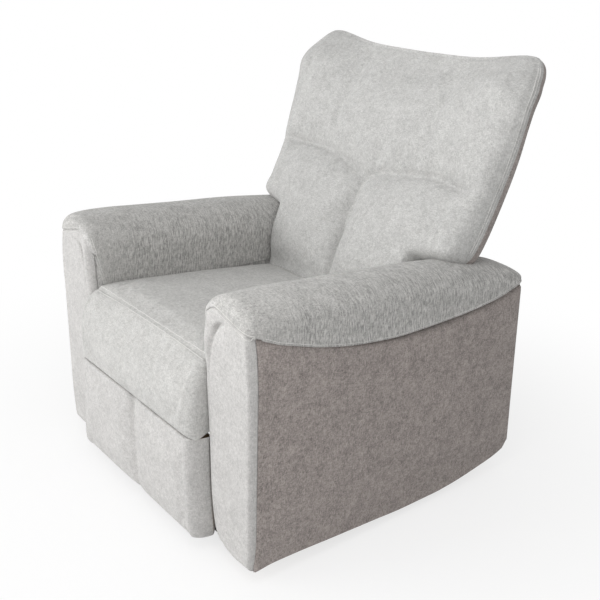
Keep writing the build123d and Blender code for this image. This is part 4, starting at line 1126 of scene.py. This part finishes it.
# ---------------------------------------------------------------- back
@dataclass
class Back:
    """The back's cover: a head pad with raised corners over two lumbar pads, parted by sewn channels.

    Attributes:
        space: The chair's measuring lines.
        wardrobe: The finishes.
        low: The foot of the cover on the leaning face, in mm.
        high: The ears' outer ends on the leaning face, in mm.
        edge: Half the cover's width at each place up the face.
        top: The head's edge at each place across.
        rim: How proud the side seam stands at each place up the face.
        channel: The sewn channel's height at each place across.
        welt: The distance of the sunk side seam from the edge, its depth and its half width, in mm.
    """

    space: ChairSpace
    wardrobe: Wardrobe
    low: float = -22.0
    high: float = 660.0
    edge: Line = curve(
        (-22, 246), (60, 250), (120, 252), (146, 256), (151, 266), (155, 285), (159, 305), (164, 335), (172, 353),
        (196, 367), (251, 374.5), (305, 378), (366, 383), (442, 391), (510, 396), (552, 398), (580, 396.5),
        (606, 389), (630, 380), (648, 370), (660, 358),
    )
    top: Line = curve(
        (0, 643), (80, 644), (150, 646), (200, 650), (240, 656), (280, 663), (320, 668), (343, 667), (358, 660),
    )
    rim: Line = curve(
        (-22, -10), (100, -16), (160, -32), (205, -39), (251, -38), (305, -35), (366, -28), (442, -15), (510, -1),
        (552, 7), (589, 4), (629, -6), (670, -12),
    )
    channel: Line = curve(
        (-400, 336), (-273, 342), (-209, 343), (-142, 334), (-76, 316), (-8, 298), (31, 315), (93, 326), (157, 335),
        (216, 343), (246, 340), (300, 332), (344, 333), (400, 336),
    )
    welt: tuple[float, float, float] = (8.0, 2.2, 3.0)

    def plane_grid(self, rows: int = 140, columns: int = 132) -> tuple[np.ndarray, np.ndarray]:
        """Places across and up the face: level rows between the two side edges.

        The rows are spaced evenly along the side edge, so that they crowd where it runs level under the wings,
        and the highest rows bend to follow the head's edge.

        Args:
            rows: The number of rows.
            columns: The number of columns.

        Returns:
            The across and up grids, in mm.
        """
        fine = np.linspace(self.low, self.high, 4000)
        wide = self.edge(fine)
        pace = np.hypot(np.gradient(fine), 0.8 * np.gradient(wide)) * (1 + 1.2 * np.exp(-(((fine - 195) / 40) ** 2)))
        run = pace.cumsum()
        run = (run - run[0]) / (run[-1] - run[0])
        level = np.interp(spread(rows, 0.35), run, fine)[:, None]
        across = crowded(columns, 0.6)[None] * self.edge(level)
        up = level + (self.top(np.abs(across)) - self.high) * ease(level, 480, self.high)
        return across, up

    def proud(self, x: np.ndarray, up: np.ndarray) -> np.ndarray:
        """How far the pads would stand proud of the leaning face if they had no edges, in mm.

        Above the channel the head pad, below it the lumbar pads, each rising from the channel's valley by
        1 - exp(-d / fade). The lumbar pads also rise from the upright channel between them.
        """
        aside = np.abs(x)
        full = through(
            [(-22, 0.25), (8, 0.32), (48, 0.72), (103, 1), (160, 1.02), (240, 1), (290, 0.92), (350, 0.9)]
        )(up)
        lumbar = full * 52 * (1 - 0.62 * np.exp(-np.abs(x + 8) / 34) - 0.3 * np.exp(-np.abs(x + 8) / 5)) - 9
        lumbar = lumbar - 8 * ease(aside, 225, 290)
        head = through([(280, 22), (400, 28), (470, 28), (530, 22), (580, 11), (620, -1), (668, -12)])(up)
        ears = through([(330, 8), (446, 14), (505, 24), (562, 42), (596, 38), (627, 30), (662, 20)])(up)
        head = head + ears * ease(aside, 150, 350) - 4 * np.exp(-((x / 150) ** 2)) * ease(up, 480, 600)
        fade = ease(aside, 275, 360)
        level = up - self.channel(x)
        valley = (0.5 * (lumbar + head) - 1.5) * fade - 5 * (1 - 0.6 * fade)
        over, under = np.maximum(level, 0), np.minimum(level, 0)
        above = valley + (head - valley) * (1 - 0.5 * np.exp(-over / 26) - 0.5 * np.exp(-over / 6))
        below = valley + (lumbar - valley) * (1 - 0.66 * np.exp(under / 34) - 0.34 * np.exp(under / 6))
        pucker = 1.3 * np.exp(-(((up - 205) / 22) ** 2)) * np.sin(x / 4.6) * ease(aside, 255, 290)
        gathers = 0.8 * np.exp(-(((level + 16) / 14) ** 2)) * np.sin(x / 7.5) * (1 - fade)
        return np.where(level > 0, above, below) + pucker + gathers

    def cover(self) -> bpy.types.Object:
        """The cover as a slab on the leaning face, blown up between its rim and its channels."""
        x, up = self.plane_grid()
        flat = np.stack([x, up], -1)
        gap = inland(flat)
        rim = self.rim(up)
        radius = through([(-22, 16), (140, 16), (178, 30), (240, 62), (400, 62), (500, 70), (600, 70), (670, 62)])(up)
        inset, sunk, wide = self.welt
        groove = sunk * np.exp(-(((gap - inset) / wide) ** 2)) * ease(up, 170, 220)
        face = self.space.on_back(x, up, rim + rounding(gap, radius) * (self.proud(x, up) - rim) - groove)
        thick = through([(-22, 24), (140, 34), (200, 66), (560, 70), (668, 48)])(up)
        boxing = through([(-22, 10), (140, 12), (200, 20), (366, 20), (442, 17), (510, 13), (552, 14), (670, 16)])(up)
        behind = np.minimum(boxing * rounding(gap, 3) + gap / 1.3, thick)
        hidden = self.space.on_back(x, up, rim - behind)
        cloths = self.wardrobe["back_cloth"], self.wardrobe["side_cloth"]
        piece = slab(face, hidden, flat * MM).piece("back_cover", *cloths)
        level = np.abs(up - self.channel(x))
        upright = np.abs(x + 8) + 60 * ease(up - self.channel(x), -5, 10)
        fade = 1 - ease(np.abs(x), 285, 365)
        sewn = np.maximum(fade * np.exp(-((level / 9) ** 2)), np.exp(-((upright / 9) ** 2)))
        held = face_held(np.maximum(1 - ease(gap, 12, 70), sewn))
        Stuffing(pressure=2.5, cap=8, slack=0.012).blow_up(piece, held)
        nodes = ("head_cushion", "left_lumbar_cushion", "right_lumbar_cushion", "left_wing_pad", "right_wing_pad")
        settle(soften(piece), "back", "back_cloth", *nodes)
        high = np.linspace(205, 640, 160)
        rows = [
            self.space.on_back(side * (self.edge(high) - aside), high, self.rim(high) + lift)
            for side in (1, -1)
            for aside, lift in ((1.0, 9), (3.5, 16))
        ]
        Thread(self.wardrobe["thread"]).sew("back_side_stitching", "back", "back_cloth", rows, [piece])
        return piece


# ---------------------------------------------------------------- carried-over nodes
def dress_nodes(frame: dict, wardrobe: Wardrobe) -> None:
    """Gives every CAD node the finish of its material slot.

    Args:
        frame: The loaded frame, with its nodes and its record.
        wardrobe: The finishes.
    """
    for part in frame["record"]["subparts"]:
        node = frame["nodes"][part["node"]]
        node.data.materials.clear()
        node.data.materials.append(wardrobe[part["material_slot"]])
        log.info("%s wears %s", part["node"], part["material_slot"])


def hook_springs(frame: dict) -> bpy.types.Object:
    """Makes a copy of the footrest springs that stands in for the CAD node, which it hides.

    Args:
        frame: The loaded frame, with its nodes and its record.

    Returns:
        The new object, which stands for the CAD node.
    """
    slot = next(part["material_slot"] for part in frame["record"]["subparts"] if part["node"] == "footrest_springs")
    piece = added("footrest_spring_pair", frame["nodes"]["footrest_springs"].data.copy())
    base, tail = ((low + high) / 2 for low, high in (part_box("spring_posts"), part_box("tail_posts")))
    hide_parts("footrest_springs")
    base.lerp(tail, 0.3)
    base.lerp(tail, 0.7)
    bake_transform(piece)
    log.info("%s reaches from chair_base to drive_linkage", piece.name)
    return piece


# ---------------------------------------------------------------- studio
@dataclass
class Studio:
    """A pale sweep, soft lamps and the camera.

    Attributes:
        space: The chair's measuring lines.
        azimuth: The camera's turn round the chair, in degrees.
        elevation: Its height above the horizon, in degrees.
        roll: Its tilt about its own axis, in degrees.
        distance: Its distance from the target, in mm.
        target: The (across, depth, height) that it is aimed by, in mm.
        focal: Its focal length, measured on the frame.
        centre: Where the optical axis meets the frame.
    """

    space: ChairSpace
    azimuth: float = 51.1658
    elevation: float = 21.826
    roll: float = 1.8112
    distance: float = 2164.27
    target: tuple[float, float, float] = (52.371, 383.311, 437.54)
    focal: float = 888.628
    centre: tuple[float, float] = (294.875, 301.403)

    def camera(self) -> bpy.types.Object:
        """The camera: looks from the chair's front left, a little from above."""
        turn, lift, tilt = map(math.radians, (self.azimuth, self.elevation, self.roll))
        back = Vector((math.sin(turn) * math.cos(lift), -math.cos(turn) * math.cos(lift), math.sin(lift)))
        right = Vector((math.cos(turn), math.sin(turn), 0))
        up = back.cross(right)
        right, up = right * math.cos(tilt) + up * math.sin(tilt), up * math.cos(tilt) - right * math.sin(tilt)
        data = bpy.data.cameras.new("camera")
        data.sensor_width = 36.0
        data.lens = self.focal / FRAME * data.sensor_width
        data.shift_x = (FRAME / 2 - self.centre[0]) / FRAME
        data.shift_y = (self.centre[1] - FRAME / 2) / FRAME
        camera = added("camera", data)
        aim = Vector(self.space.at(*(np.array(v) for v in self.target)).tolist())
        stand = Matrix.Translation(aim + back * self.distance * MM)
        camera.matrix_world = stand @ Matrix((right, up, back)).transposed().to_4x4()
        bpy.context.scene.camera = camera
        return camera

    def lamp(self, name: str, place: Sequence[float], size: float, watts: float) -> None:
        """A square area lamp at a place in metres, turned towards the middle of the chair."""
        data = bpy.data.lights.new(name, "AREA")
        data.size = size
        data.energy = watts
        lamp = added(name, data)
        lamp.location = place
        lamp.rotation_mode = "QUATERNION"
        lamp.rotation_quaternion = (Vector((0, 0, 0.5)) - Vector(place)).to_track_quat("-Z", "Y")

    def floor(self) -> bpy.types.Object:
        """A wide pale floor that shows near white and takes the chair's shadow."""
        half, rows = 9.0, 3
        side = np.linspace(-half, half, rows)
        x, y = np.meshgrid(side, side)
        points = np.stack([x, y, np.zeros_like(x)], -1).reshape(-1, 3)
        faces = grid_faces(np.arange(rows * rows).reshape(rows, rows))
        mesh = bpy.data.meshes.new("studio_floor")
        mesh.from_pydata(points.tolist(), [], faces.tolist())
        floor = added("studio_floor", mesh)
        graph = Graph("studio_floor")
        graph.feed(graph.shader, {"Base Color": (0.93, 0.93, 0.93, 1), "Roughness": 1.0, "Specular IOR Level": 0.0})
        white = graph.node("ShaderNodeEmission").outputs["Emission"]
        reach = graph.node("ShaderNodeVectorMath", {0: graph.spot()}, operation="LENGTH").outputs["Value"]
        ramp = {"Value": reach, "From Min": 0.3, "From Max": 1.5, "To Min": 0.72, "To Max": 1.0}
        fade = graph.node("ShaderNodeMapRange", ramp, interpolation_type="SMOOTHSTEP").outputs["Result"]
        seen = graph.maths("MULTIPLY", graph.node("ShaderNodeLightPath").outputs["Is Camera Ray"], fade)
        mix = graph.node("ShaderNodeMixShader", {0: seen, 1: graph.shader.outputs["BSDF"], 2: white})
        graph.feed(graph.out, {"Surface": mix.outputs["Shader"]})
        mesh.materials.append(graph.material)
        return floor

    def world(self) -> None:
        """A soft grey surround that camera rays and glossy rays see as white."""
        world = bpy.data.worlds.new("studio")
        bpy.context.scene.world = world
        world.use_nodes = True
        tree = world.node_tree
        ground = tree.nodes["Background"]
        path = tree.nodes.new("ShaderNodeLightPath")
        seen = tree.nodes.new("ShaderNodeMath")
        seen.operation = "MAXIMUM"
        tree.links.new(path.outputs["Is Camera Ray"], seen.inputs[0])
        tree.links.new(path.outputs["Is Glossy Ray"], seen.inputs[1])
        scale = tree.nodes.new("ShaderNodeMapRange")
        scale.inputs["To Min"].default_value = 0.5
        scale.inputs["To Max"].default_value = 1.0
        tree.links.new(seen.outputs[0], scale.inputs["Value"])
        ground.inputs["Color"].default_value = (1, 1, 1, 1)
        tree.links.new(scale.outputs["Result"], ground.inputs["Strength"])

    def build(self) -> None:
        """Sets up the floor, the light and the camera."""
        self.world()
        self.floor()
        self.lamp("key", (-1.6, -3.4, 1.6), 2.4, 88)
        self.lamp("fill", (2.6, -2.6, 2.2), 2.6, 9)
        self.lamp("over", (0.75, -0.9, 1.5), 0.8, 6.5)
        self.lamp("top", (0.2, 0.4, 3.4), 2.6, 3)
        self.camera()
        bpy.context.scene.view_settings.view_transform = "Standard"


def main() -> None:
    """Loads the frame, builds each sub-assembly in order and sets the studio."""
    logging.basicConfig(level=logging.INFO, format="%(name)s: %(message)s", force=True)
    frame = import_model()
    space = ChairSpace(front=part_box("left_arm_outer_panel")[0][1] - 12 * MM)
    wardrobe = Wardrobe(FINISHES)
    dress_nodes(frame, wardrobe)
    hook_springs(frame)
    for side in (1, -1):
        Arm(space, wardrobe, side).build()
    Seat(space, wardrobe).cover()
    Footrest(space, wardrobe).cover()
    Back(space, wardrobe).cover()
    Studio(space).build()
    bpy.context.view_layer.update()


if __name__ == "__main__":
    main()
